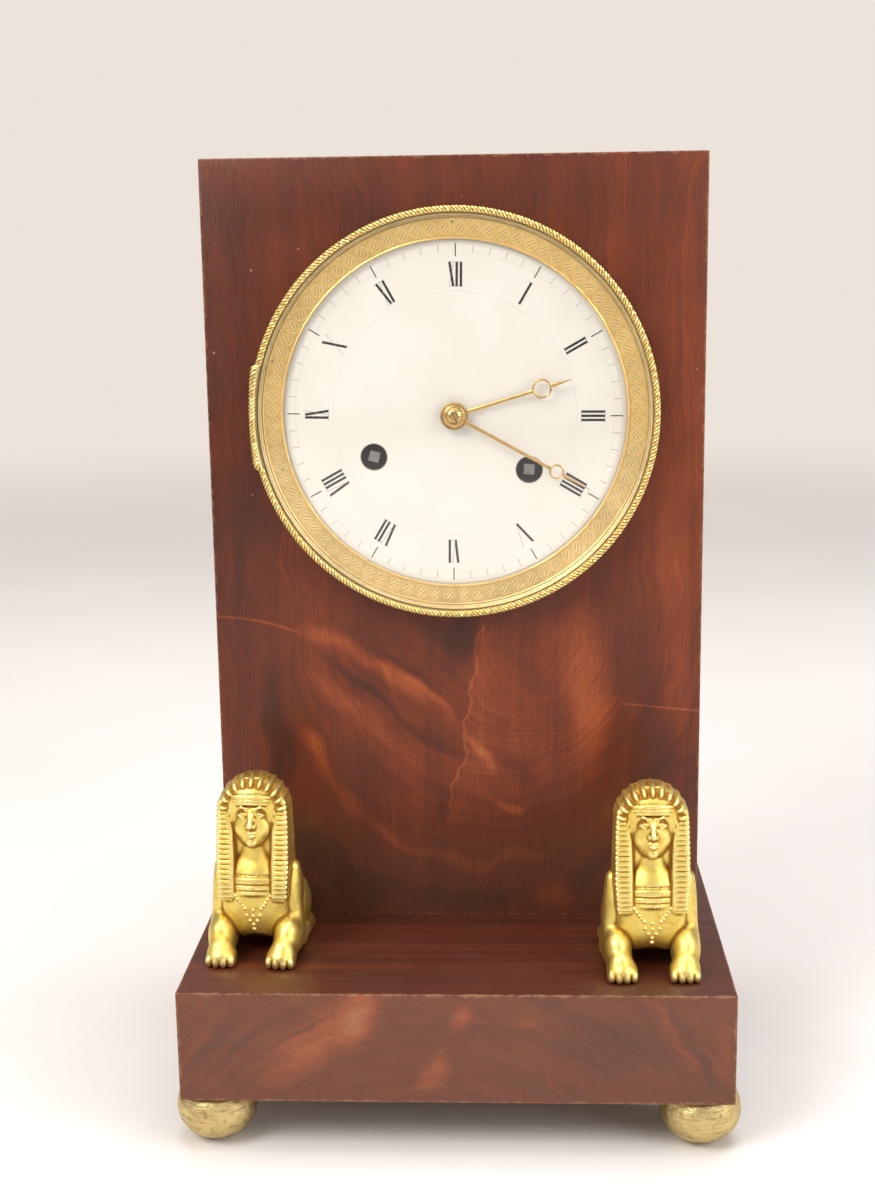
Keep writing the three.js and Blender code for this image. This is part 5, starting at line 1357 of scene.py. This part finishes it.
def strokeOnDial(target, start, end, width, angle, lift=0.03, steps=5):
    # a straight stroke in the numeral's own frame: across (clockwise) and radius, laid on the dome
    points, faces = target
    start, end = Vector(start), Vector(end)
    along = (end - start).normalized()
    normal = Vector((along.y, -along.x))
    first = len(points)
    for i in range(steps + 1):
        for side in (-1, 1):
            across, out = start.lerp(end, i / steps) + normal * (width / 2) * side
            x = math.sin(angle) * out + math.cos(angle) * across
            z = math.cos(angle) * out - math.sin(angle) * across
            points.append(fromDial(x, domeY(math.hypot(x, z), lift), z))
    for i in range(steps):
        a = first + 2 * i
        faces.append((a, a + 1, a + 3, a + 2))


numeral = {
    "thick": 0.86, "thin": 0.13, "serif": 0.11, "pitch": 1.46, "vHalf": 0.95, "xHalf": 0.68, "vGap": 1.5, "xGap": 1.45,
    "foot": 44.2, "top": 52.5, "hourMark": (58.8, 54.4, 0.36, 0.045), "tick": (58.5, 55.9, 0.17), "ticks": 60,
    "circles": ((58.5, 0.10), (55.9, 0.10), (42.6, 0.12)), "circleSteps": 180, "circleLift": 0.02,
}


def numeralStrokes(text, given):
    # strokes as (across at the top, across at the foot, thick or thin), centred
    cursor = 0.0
    strokes = []
    alone = len(text) == 1
    for i, letter in enumerate(text):
        if letter == "I":
            if i:
                cursor += given["pitch"] if text[i - 1] == "I" else given[text[i - 1].lower() + "Gap"]
            strokes.append((cursor, cursor, "thick"))
            continue
        half = given[letter.lower() + "Half"] * (2.1 if alone else 1.0)
        if i:
            cursor += given[letter.lower() + "Gap"] + half * 0.3
        if letter == "V":
            strokes += [(cursor - half, cursor, "thick"), (cursor + half, cursor + 0.1, "thin")]
        else:
            strokes += [(cursor - half, cursor + half, "thick"), (cursor + half, cursor - half, "thin")]
        cursor += half * 0.6
    spots = [s for stroke in strokes for s in stroke[:2]]
    middle = (min(spots) + max(spots)) / 2
    return [(a - middle, b - middle, kind) for a, b, kind in strokes]


def makeNumerals(given):
    texts = "XII I II III IIII V VI VII VIII IX X XI".split()
    black, thin, tick = ([], []), ([], []), ([], [])
    top, foot = given["top"], given["foot"]
    markTop, markFoot, markWidth, markLift = given["hourMark"]
    for hour, text in enumerate(texts):
        angle = fullTurn * hour / 12 + dial["turn"]
        for topX, footX, kind in numeralStrokes(text, given):
            width = given[kind]
            strokeOnDial(black if kind == "thick" else thin, (topX, top), (footX, foot), width, angle)
            reach = width / 2 + 0.35
            for x, out in ((topX, top), (footX, foot)):
                strokeOnDial(thin, (x - reach, out), (x + reach, out), given["serif"], angle, steps=2)
        strokeOnDial(black, (0, markTop), (0, markFoot), markWidth, angle, markLift)
    pieces = [newPiece("black", *black, smooth=False, material=paints["black"])]
    pieces.append(newPiece("thin", *thin, smooth=False, material=paints["grey"]))
    tickTop, tickFoot, tickWidth = given["tick"]
    strokeOnDial(tick, (0, tickTop), (0, tickFoot), tickWidth, dial["turn"], steps=2)
    item = newPiece("tick", *tick, smooth=False)
    values = {"Centre": dialCentre, "Count": given["ticks"], "Finish": paints["grey"]}
    pieces.append(grown("ticks", roundTree, values, item))
    step = fullTurn / given["circleSteps"]
    for radius, width in given["circles"]:
        arc = ([], [])
        start, end = [(radius * math.sin(a), radius * math.cos(a)) for a in (-step, 0)]
        strokeOnDial(arc, start, end, width, 0.0, given["circleLift"], steps=1)
        item = newPiece("arc", *arc, smooth=False)
        values = {"Centre": dialCentre, "Count": given["circleSteps"], "Finish": paints["faint"]}
        pieces.append(grown("circle", roundTree, values, item))

    def faceFront(mesh):
        for face in mesh.faces:
            face.normal_update()
        bmesh.ops.reverse_faces(mesh, faces=[f for f in mesh.faces if f.normal.y > 0])

    finishPiece(reworked(joinPieces("painted_numerals", pieces), faceFront), "case")


makeDial(dial)
makeNumerals(numeral)
print("stage: dial")


# hands: a shaft with a ridge along its middle, a hollow ring, a tapered tip, a round hub
hands = {
    "hour": {
        "angle": 16.6, "y": -5.6, "ring": 31.8, "ringRadius": 3.45, "tip": 42.5, "hub": 4.4, "bore": 2.25,
        "shaft": (1.35, 1.15), "spear": (1.5, 0.22),
    },
    "minute": {
        "angle": -29.0, "y": -6.9, "ring": 40.6, "ringRadius": 2.65, "tip": 54.3, "hub": 4.85, "bore": 1.5,
        "shaft": (1.3, 1.1), "spear": (1.15, 0.18),
    },
}


def loopFaces(rings, around, closed):
    # quads between rings of points that follow each other in one list
    faces = []
    for i in range(rings if closed else rings - 1):
        one, two = i * around, (i + 1) % rings * around
        for k in range(around):
            j = (k + 1) % around
            faces.append((one + k, one + j, two + j, two + k))
    return faces


def endFaces(rings, around):
    return [tuple(range(around)), tuple(reversed(range((rings - 1) * around, rings * around)))]


def ridgedBar(stations):
    # stations: (distance, width); the front is a low roof, the back flat; thickness 0.7
    points = []
    for s, width in stations:
        half = width / 2
        left = [(-half, 0.7), (-half, 0.28), (-half * 0.45, 0.06)]
        section = left + [(0, 0)] + [(-z, y) for z, y in reversed(left)]
        points += [(s, y, z) for z, y in section]
    return points, loopFaces(len(stations), 7, False) + endFaces(len(stations), 7)


def torusAt(x, radius, section, thickness, sides=56, around=10):
    points = []
    for i in range(sides):
        a = fullTurn * i / sides
        for k in range(around):
            b = fullTurn * k / around
            r = radius - section + section * math.cos(b)
            points.append((x + r * math.cos(a), 0.35 + thickness / 2 * math.sin(b), r * math.sin(a)))
    return points, loopFaces(sides, around, True)


def makeHand(name, given, body, node):
    inner, outer = given["shaft"]
    base, tip = given["spear"]
    hub, bore, end = given["hub"], given["bore"], given["tip"]
    near, far = given["ring"] - given["ringRadius"] + 0.2, given["ring"] + given["ringRadius"] - 0.2
    shaft = [(hub - 1.0, inner * 1.25), (hub + 1.6, inner), (near - 2, outer), (near, outer * 1.25)]
    spear = [(far, base * 0.8), (far + 0.8, base), ((far + end) / 2, (base + tip) / 2), (end, tip)]
    turn = Matrix.Rotation(-math.radians(given["angle"]), 3, "Y")
    at = fromDial(y=given["y"])
    pieces = []
    for points, faces in (ridgedBar(shaft), ridgedBar(spear), torusAt(given["ring"], given["ringRadius"], 0.36, 0.66)):
        placed = [at + turn @ (Vector(p) * mm) for p in points]
        pieces.append(outward(newPiece("part", placed, faces)))
    profile = [
        (bore, 0.7), (bore, 0.12), (bore + 0.25, 0.0), (hub - 1.45, 0.06), (hub - 1.1, 0.34), (hub - 0.7, 0.34),
        (hub - 0.55, 0.05), (hub - 0.25, 0.0), (hub, 0.3), (hub, 0.7),
    ]
    pieces.append(turnedPiece("hub", profile, 64, at))
    assemble(name, pieces, 50, body, [node], metals["gilt hands"])


collet = {
    # profiles: radius and distance from the back of the collet
    "dome": ((1.2, 0), (3.0, 0), (3.0, -0.35), (2.85, -0.62), (2.4, -1.05), (1.9, -1.4), (1.5, -1.58), (1.2, -1.6)),
    "arborEnd": ((0, -1.9), (0.75, -1.88), (1.05, -1.72), (1.05, -0.4), (0, -0.4)),
    # cross pin: slope in degrees, distance along it and radius at each station
    "pinSlope": 62, "pinY": -1.72, "pinSides": 10,
    "pinStations": ((-2.3, 0.16), (-2.2, 0.24), (2.2, 0.34), (2.35, 0.2)),
}


def makeCollet(given):
    centre = Vector((dialCentre.x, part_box("hand_collet")[1].y, dialCentre.z))
    dome = turnedPiece("collet", given["dome"], 64, centre)
    finishPiece(dome, "minute_work", metals["gilt hands"], nodes=["hand_collet"])
    # arbor end with its cross pin
    end = turnedPiece("arbor_end", given["arborEnd"], 32, centre)
    slope = Matrix.Rotation(math.radians(given["pinSlope"]), 3, "Y")
    sides, rings = given["pinSides"], len(given["pinStations"])
    points = []
    for along, radius in given["pinStations"]:
        for k in range(sides):
            a = fullTurn * k / sides
            spot = Vector((along, radius * math.cos(a), radius * math.sin(a))) * mm
            points.append(centre + slope @ spot + Vector((0, given["pinY"] * mm, 0)))
    pin = outward(newPiece("pin", points, loopFaces(rings, sides, False) + endFaces(rings, sides)))
    assemble("arbor_end_and_pin", [end, pin], 40, "minute_work", material=metals["brown steel"])


makeHand("hour_hand_blade", hands["hour"], "hour_work", "hour_hand")
makeHand("minute_hand_blade", hands["minute"], "minute_work", "minute_hand")
makeCollet(collet)
print("stage: hands")


# bun feet
foot = {"height": 19.5, "radius": 14.0, "top": 10.5, "belly": 12.0, "steps": 14}


def makeFeet(given):
    radius, top, belly, steps = given["radius"], given["top"], given["belly"], given["steps"]
    end = given["height"] - 0.3
    below = [quarter * i / steps for i in range(1, steps + 1)]
    above = [quarter * 2 * i / steps for i in range(1, steps // 2 + 1)]
    profile = [(0, 0)] + [(radius * math.sin(a), belly * (1 - math.cos(a))) for a in below]
    profile += [(top + (radius - top) * math.cos(a), belly + (end - belly) * math.sin(a)) for a in above]
    profile.append((0, end))
    for name in ("foot_front_left", "foot_front_right", "foot_back_left", "foot_back_right"):
        middle = middleOf(name)
        bun = turnedPiece("ball", profile, 72, (middle.x, middle.y, 0), axis="z", angle=60)
        finishPiece(bun, "case", metals["worn brass"], nodes=[name])
        bun.name = name + "_bun"


makeFeet(foot)
print("stage: feet")


# sphinxes: one smooth cast figure, worked out on a grid, then set down twice
sphinx = {
    "low": (-19.2, -1.2, -0.9), "high": (19.2, 48.0, 68.0), "step": 0.40, "quickStep": 0.7,
    "ribPitch": 1.75, "rib": 0.42, "lobes": 11, "bead": 0.82,
    # beads of the chest ornament: across and height
    "strings": ((6.2, 23.0), (5.3, 21.8), (4.5, 20.6), (3.7, 19.5), (2.9, 18.5)),
    "cluster": ((0.0, 17.8), (2.4, 15.9), (0.0, 15.7), (1.3, 13.9), (0.0, 12.4), (0.0, 10.5)),
    # name, across, paws behind the plinth's front, turn in degrees
    "places": {
        "sphinx_left": ("gilt_sphinx_left", -71.9, 17.8, -3.5),
        "sphinx_right": ("gilt_sphinx_right", 67.3, 7.4, 1.5),
    },
}


def merged(a, b, soft):
    share = np.clip(0.5 + 0.5 * (b - a) / soft, 0, 1)
    return b + (a - b) * share - soft * share * (1 - share)


def carved(a, b, soft):
    return -merged(-a, b, soft)


def mergedAll(shape, *parts):
    for part, soft in parts:
        shape = merged(shape, part, soft)
    return shape


def ball(p, centre, radii):
    q = [(p[i] - centre[i]) for i in range(3)]
    near = np.sqrt(sum((q[i] / radii[i]) ** 2 for i in range(3)))
    scale = np.sqrt(sum((q[i] / radii[i] ** 2) ** 2 for i in range(3)))
    return near * (near - 1) / np.maximum(scale, 1e-6)


def limb(p, start, end, thickStart, thickEnd):
    axis = [end[i] - start[i] for i in range(3)]
    length = sum(v * v for v in axis)
    share = np.clip(sum((p[i] - start[i]) * axis[i] for i in range(3)) / length, 0, 1)
    away = np.sqrt(sum((p[i] - start[i] - share * axis[i]) ** 2 for i in range(3)))
    return away - (thickStart + (thickEnd - thickStart) * share)


def sphinxShape(x, y, z):
    side = np.abs(x)
    p = (x, y, z)
    m = (side, y, z)
    # trunk, chest, haunches
    block = (side / 12.9) ** 3 + (np.abs(y - 20) / 9.3) ** 2.4 + (np.abs(z - 20.5) / 15.5) ** 3
    body = (np.power(block, 1 / 2.8) - 1) * 10.0
    body = mergedAll(
        body,
        (ball(p, (0, 30, 15.5), (11.4, 15, 13.5)), 3.0),
        (ball(p, (0, 38, 13), (10.8, 8.2, 12.2)), 3.0),
        (ball(p, (0, 26, 27), (8.5, 8, 9)), 4.0),
    )
    body = carved(body, ball(p, (0, 11, 1.5), (7.2, 12, 6.8)), 0.8)
    # upper arms, elbows, forelegs
    arm = limb(m, (12.5, 20.5, 30.5), (12.9, 18.0, 10), 2.9, 3.8)
    arm = merged(arm, ball(m, (11.9, 22.5, 21.5), (3.9, 7.5, 11.5)), 1.6)
    leg = limb(m, (12.4, 21.5, 5.4), (11.0, 7.0, 4.9), 5.0, 4.3)
    leg = merged(leg, ball(m, (11.8, 14.2, 8.4), (5.0, 7.6, 6.4)), 2.0)
    arm = merged(arm, leg, 2.0)
    body = merged(body, arm, 0.45)
    # paws with four toes
    paw = ball(m, (10.6, 6.2, 3.0), (5.3, 5.4, 4.0))
    for i, across in enumerate((-3.9, -1.35, 1.3, 3.8)):
        reach = 0.7 * abs(i - 1.5)
        paw = merged(paw, ball(m, (10.6 + across, 3.2 + reach, 2.0), (1.5, 3.1, 2.4)), 0.35)
        paw = merged(paw, ball(m, (10.6 + across, 1.6 + reach, 1.5), (1.15, 1.4, 1.5)), 0.4)
    body = merged(body, paw, 1.2)
    # haunch and hind foot
    haunch = ball(m, (10.4, 36.5, 10.5), (5.2, 9.2, 11.0))
    hind = limb(m, (13.4, 39.0, 3.0), (13.6, 26.5, 2.4), 3.2, 2.5)
    for across in (-1.6, 0.0, 1.6):
        hind = merged(hind, ball(m, (13.6 + across, 24.3, 1.6), (0.95, 1.9, 1.6)), 0.3)
    body = merged(body, haunch, 0.9)
    body = merged(body, hind, 0.6)
    # neck and head
    body = merged(body, limb(p, (0, 20.5, 47), (0, 19.0, 31), 5.2, 7.0), 2.5)
    face = ball(p, (0, 19.2, 49.2), (7.1, 7.9, 9.6))
    face = mergedAll(
        face,
        (ball(p, (0, 15.3, 43.6), (4.4, 3.5, 3.3)), 2.4),
        (ball(m, (3.5, 14.9, 46.7), (2.9, 2.6, 3.0)), 1.6),
        (limb(m, (1.3, 12.5, 54.2), (3.3, 12.6, 54.9), 0.3, 0.33), 0.9),
        (limb(m, (3.3, 12.6, 54.9), (5.5, 14.3, 53.6), 0.33, 0.22), 0.9),
    )
    face = carved(face, ball(m, (2.95, 10.9, 52.0), (2.0, 1.7, 1.35)), 0.7)
    face = mergedAll(
        face,
        (ball(m, (2.95, 12.9, 51.9), (1.6, 1.0, 0.85)), 0.12),
        (limb(m, (1.45, 12.3, 52.0), (2.95, 11.6, 52.9), 0.28, 0.32), 0.12),
        (limb(m, (2.95, 11.6, 52.9), (4.8, 12.8, 51.95), 0.32, 0.26), 0.12),
        (limb(m, (1.5, 12.3, 51.6), (3.0, 11.95, 50.9), 0.2, 0.24), 0.12),
        (limb(m, (3.0, 11.95, 50.9), (4.7, 12.85, 51.7), 0.24, 0.2), 0.12),
        (limb(p, (0, 12.5, 53.2), (0, 9.95, 48.7), 0.5, 1.0), 0.8),
        (ball(m, (1.05, 11.2, 48.2), (0.85, 1.05, 0.75)), 0.3),
    )
    face = carved(face, ball(m, (0.7, 10.8, 47.35), (0.4, 0.5, 0.3)), 0.15)
    face = merged(face, limb(m, (0, 10.95, 46.0), (2.6, 12.3, 45.55), 0.55, 0.28), 0.2)
    face = merged(face, limb(m, (0, 11.05, 44.65), (2.0, 12.2, 44.95), 0.65, 0.35), 0.2)
    face = carved(face, limb(m, (0, 10.3, 45.38), (2.5, 11.8, 45.3), 0.22, 0.15), 0.12)
    face = merged(face, ball(p, (0, 12.6, 42.1), (2.0, 1.7, 1.6)), 0.8)
    ear = ball(m, (7.7, 14.7, 51.2), (0.95, 1.2, 2.6))
    ear = carved(ear, ball(m, (7.7, 13.6, 51.4), (0.45, 0.6, 1.5)), 0.3)
    # headdress: hood, lappets, band over the brow, lobes over the crown
    levels = [0, 24, 32, 37, 41.6, 51, 55.8, 57.7, 60.6, 62.9, 64.6, 66, 70]
    widths = [12.0, 12.2, 12.8, 12.7, 12.7, 12.5, 12.1, 11.3, 9.3, 6.6, 3.6, 0.6, 0.2]
    depths = [7.0, 7.0, 7.0, 7.0, 7.1, 7.4, 7.6, 7.6, 6.9, 5.9, 4.0, 0.6, 0.2]
    wide = np.interp(z, levels, widths).astype(x.dtype)
    deep = np.interp(z, levels, depths).astype(x.dtype)
    back = 21.0 + 0.08 * np.clip(50 - z, 0, 30)
    hood = (np.power(side / wide, 3.0) + np.power(np.abs(y - back) / deep, 3.0)) ** (1 / 3.0) - 1
    hood = hood * np.minimum(wide, deep) * 0.9
    hood = np.maximum(np.maximum(hood, 27.0 - z), z - 64.4)
    # one strip from the temple down to the chest on each side
    inner = np.interp(z, [21, 46, 52, 58], [6.5, 6.8, 8.3, 8.9]).astype(x.dtype)
    front = np.interp(z, [21, 27, 45, 57, 59], [10.6, 10.5, 13.2, 14.6, 15.4]).astype(x.dtype)
    half = ((wide - inner) / 2, (22.0 - front) / 2, 18.6)
    corner = (1.0, 1.0, 1.8)
    q = [side - inner - half[0], y - front - half[1], z - 39.4]
    q = [(np.abs(v) - h) / c + 1 for v, h, c in zip(q, half, corner)]
    inside = np.minimum(np.maximum(np.maximum(q[0], q[1]), q[2]), 0)
    strip = np.sqrt(sum(np.maximum(v, 0) ** 2 for v in q)) + inside - 1
    hood = merged(hood, strip, 0.5)
    pitch = sphinx["ribPitch"]
    rib = (np.abs(np.cos(math.pi * z / pitch)) ** 0.75 - 0.55) * sphinx["rib"]
    rearRib = (np.abs(np.cos(math.pi * (z - 0.25 * (y - 16)) / pitch)) ** 0.75 - 0.55) * sphinx["rib"]
    onFront = np.clip((side - inner - 0.75) / 0.3, 0, 1) * np.clip((z - 21.6) / 0.4, 0, 1)
    hood = hood - np.where(y < 17, rib * onFront, rearRib) * np.clip((57.0 - z) / 0.8, 0, 1)
    band = ball(p, (0, 20.2, 57.2), (10.6, 8.4, 6.6))
    for level in (56.7, 57.9, 59.4):
        line = z - level + 0.012 * x * x
        band = band + 0.32 * np.exp(-((line / 0.26) ** 2)) * (y < 18)
    band = np.maximum(band, 55.7 - 0.014 * x * x - z)
    head = mergedAll(face, (hood, 0.35), (band, 0.25), (ear, 0.25))
    for i in range(sphinx["lobes"]):
        turn = math.radians(-80 + 160 * i / (sphinx["lobes"] - 1))
        cx, cz = 10.3 * math.sin(turn), 52.2 + 10.4 * math.cos(turn)
        c, s = math.cos(turn), math.sin(turn)
        u, w = (x - cx) * c - (z - cz) * s, (x - cx) * s + (z - cz) * c
        lobe = ball((u, y, w), (0, 20.6, 0), (1.42, 7.6, 2.7))
        head = merged(head, lobe, 0.18)
    # broad collar between the lappets
    collar = ball(p, (0, 20.5, 25.5), (12.0, 10.7, 14.0))
    for level, depth in ((30.6, 0.5), (29.8, 0.4), (27.2, 0.5), (25.0, 0.45)):
        collar = collar + depth * np.exp(-(((z - level + 0.006 * x * x) / 0.28) ** 2))
    collar = np.maximum(collar, 23.3 - 0.006 * x * x + 0.22 * np.cos(2 * math.pi * x / 1.2) - z)
    collar = np.maximum(collar, side - 7.2)
    body = merged(body, collar, 0.3)
    whole = merged(body, head, 0.4)
    return np.maximum(whole, -z)


def cellsBeside(spots, moves, shape):
    # the cells one side of the crossed edges, and which of them are on the grid
    cell = [np.array(s) for s in spots]
    for axis, move in moves:
        cell[axis] = cell[axis] - move
    fits = np.ones(len(cell[0]), bool)
    for i in range(3):
        fits &= (cell[i] >= 0) & (cell[i] < shape[i])
    return tuple(c[fits] for c in cell), fits


def netOf(field, low, step):
    # one point for each cell that the surface crosses, one quad for each crossed edge
    shape = tuple(n - 1 for n in field.shape)
    total = np.zeros((3,) + shape, dtype=np.float32)
    count = np.zeros(shape, dtype=np.float32)
    crossings = []
    for axis in range(3):
        a = np.take(field, range(field.shape[axis] - 1), axis)
        b = np.take(field, range(1, field.shape[axis]), axis)
        spots = np.nonzero((a < 0) != (b < 0))
        one, two = a[spots], b[spots]
        share = one / (one - two)
        crossings.append((spots, one < 0))
        others = [i for i in range(3) if i != axis]
        for da, db in ((0, 0), (0, 1), (1, 0), (1, 1)):
            key, fits = cellsBeside(spots, ((others[0], da), (others[1], db)), shape)
            for i in range(3):
                np.add.at(total[i], key, spots[i][fits] + (share[fits] if i == axis else 0))
            np.add.at(count, key, 1)
    used = np.nonzero(count > 0)
    numbers = np.full(shape, -1, dtype=np.int64)
    numbers[used] = np.arange(len(used[0]))
    cells = np.stack([total[i][used] / count[used] for i in range(3)], axis=1)
    faces = []
    for axis, (spots, rising) in enumerate(crossings):
        a, b = (axis + 1) % 3, (axis + 2) % 3
        quad = np.full((len(rising), 4), -1, dtype=np.int64)
        for corner, (da, db) in enumerate(((0, 0), (1, 0), (1, 1), (0, 1))):
            key, fits = cellsBeside(spots, ((a, da), (b, db)), shape)
            quad[fits, corner] = numbers[key]
        quad[~rising] = quad[~rising][:, ::-1]
        faces.append(quad[(quad >= 0).all(axis=1)])
    return cells, np.concatenate(faces), np.array(low) + cells * step


def softened(field, passes):
    for _ in range(passes):
        for axis in range(3):
            padded = np.concatenate([np.take(field, [0], axis), field, np.take(field, [-1], axis)], axis)
            n = field.shape[axis]
            parts = [np.take(padded, range(k, k + n), axis) for k in range(3)]
            field = (parts[0] + 2 * parts[1] + parts[2]) / 4
    return field


def pulled(points, passes):
    # each point goes onto the exact surface, which keeps ribs and lines crisp
    gap = 0.06
    for _ in range(passes):
        x, y, z = points.T
        here = sphinxShape(x, y, z)
        shifted = (sphinxShape(x + gap, y, z), sphinxShape(x, y + gap, z), sphinxShape(x, y, z + gap))
        slope = np.stack([value - here for value in shifted], axis=1) / gap
        move = slope * (here / np.maximum((slope ** 2).sum(axis=1), 0.2))[:, None]
        length = np.linalg.norm(move, axis=1, keepdims=True)
        points = points - move * np.minimum(1, 0.3 / np.maximum(length, 1e-6))
    return points


def sampled(field, cells):
    low = np.floor(cells).astype(int)
    low = np.clip(low, 0, np.array(field.shape) - 2)
    share = cells - low
    value = 0
    for corner in range(8):
        step = np.array([corner & 1, corner >> 1 & 1, corner >> 2 & 1])
        weight = np.prod(np.where(step, share, 1 - share), axis=1)
        value = value + weight * field[tuple((low + step).T)]
    return value


def makeSphinx(given):
    step = given["step"]
    low = given["low"]
    axes = [np.arange(a, b, step, dtype=np.float32) for a, b in zip(low, given["high"])]
    x, y, z = np.meshgrid(*axes, indexing="ij")
    field = sphinxShape(x, y, z).astype(np.float32)
    cells, faces, points = netOf(field, low, step)
    points = pulled(points, 2)
    near = sampled(softened(field, 3), cells)
    far = sampled(softened(field, 12), cells)
    # how far each point lies in a hollow; the gilt paints dirt and shade into hollows and a highlight onto raised
    # places
    hollow = np.clip(0.5 - 0.9 * near / step * 0.8 - 0.16 * far / step, 0, 1)
    # beads laid on the surface, seen from the front
    beads = []
    for across, level in given["strings"] + given["cluster"]:
        for side in ((-1, 1) if across else (1,)):
            i = int(round((side * across - low[0]) / step))
            k = int(round((level - low[2]) / step))
            column = field[i, :, k]
            j = int(np.argmax(column < 0))
            depth = low[1] + step * (j - column[j] / (column[j] - column[j - 1]))
            beads.append((side * across, depth + 0.1, level))
    return points, faces, hollow, beads


def beadBuild(graph, given):
    sphere = {"Segments": 14, "Rings": 8, "Radius": given["Radius"]}
    sphere = graph.node("GeometryNodeMeshUVSphere", sphere).outputs[0]
    sizes = {2: 0.85, 3: 1.15, "Seed": given["Seed"]}
    size = graph.node("FunctionNodeRandomValue", sizes, data_type="FLOAT").outputs[1]
    points = graph.node("GeometryNodeMeshToPoints", {"Mesh": given["Geometry"]}).outputs[0]
    placed = {"Points": points, "Instance": sphere, "Scale": size}
    return graph.node("GeometryNodeInstanceOnPoints", placed).outputs[0]


beadTree = geometryTree("beads", {"Radius": 0.0006, "Seed": 4}, beadBuild)


def quadMesh(name, points, faces):
    # from_pydata takes too long for this many faces
    mesh = bpy.data.meshes.new(name)
    mesh.vertices.add(len(points))
    mesh.vertices.foreach_set("co", points.astype(np.float32).ravel())
    mesh.loops.add(faces.size)
    mesh.loops.foreach_set("vertex_index", faces.astype(np.int32).ravel())
    mesh.polygons.add(len(faces))
    mesh.polygons.foreach_set("loop_start", np.arange(0, faces.size, 4, dtype=np.int32))
    mesh.update(calc_edges=True)
    mesh.validate()
    return mesh


def placeSphinxes(given):
    points, faces, hollow, beads = makeSphinx(given)
    print("stage: sphinx worked out,", len(faces), "quads")
    for node, (name, x, paws, turnBy) in given["places"].items():
        origin = Vector((x * mm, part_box("plinth_front")[0].y + paws * mm, plinthTopZ + 0.3 * mm))
        place = Matrix.Translation(origin) @ Matrix.Rotation(math.radians(turnBy), 4, "Z") @ Matrix.Scale(mm, 4)
        turnBack = np.array(place)
        mesh = quadMesh(name, points @ turnBack[:3, :3].T + turnBack[:3, 3], faces)
        mesh.attributes.new("hollow", "FLOAT", "POINT").data.foreach_set("value", hollow.astype(np.float32))
        figure = linked(name, mesh)
        shade(figure, angle=0)
        finishPiece(figure, "case", metals["gilt bronze"], nodes=[node])
        seeds = newPiece("seeds", [place @ Vector(b) for b in beads], [])
        values = {"Radius": given["bead"] * mm, "Finish": metals["gilt bead"]}
        beadPiece = grown(name + "_beads", beadTree, values, seeds)
        shade(beadPiece, angle=0)
        finishPiece(beadPiece, "case")


placeSphinxes(sphinx)
print("stage: sphinxes")
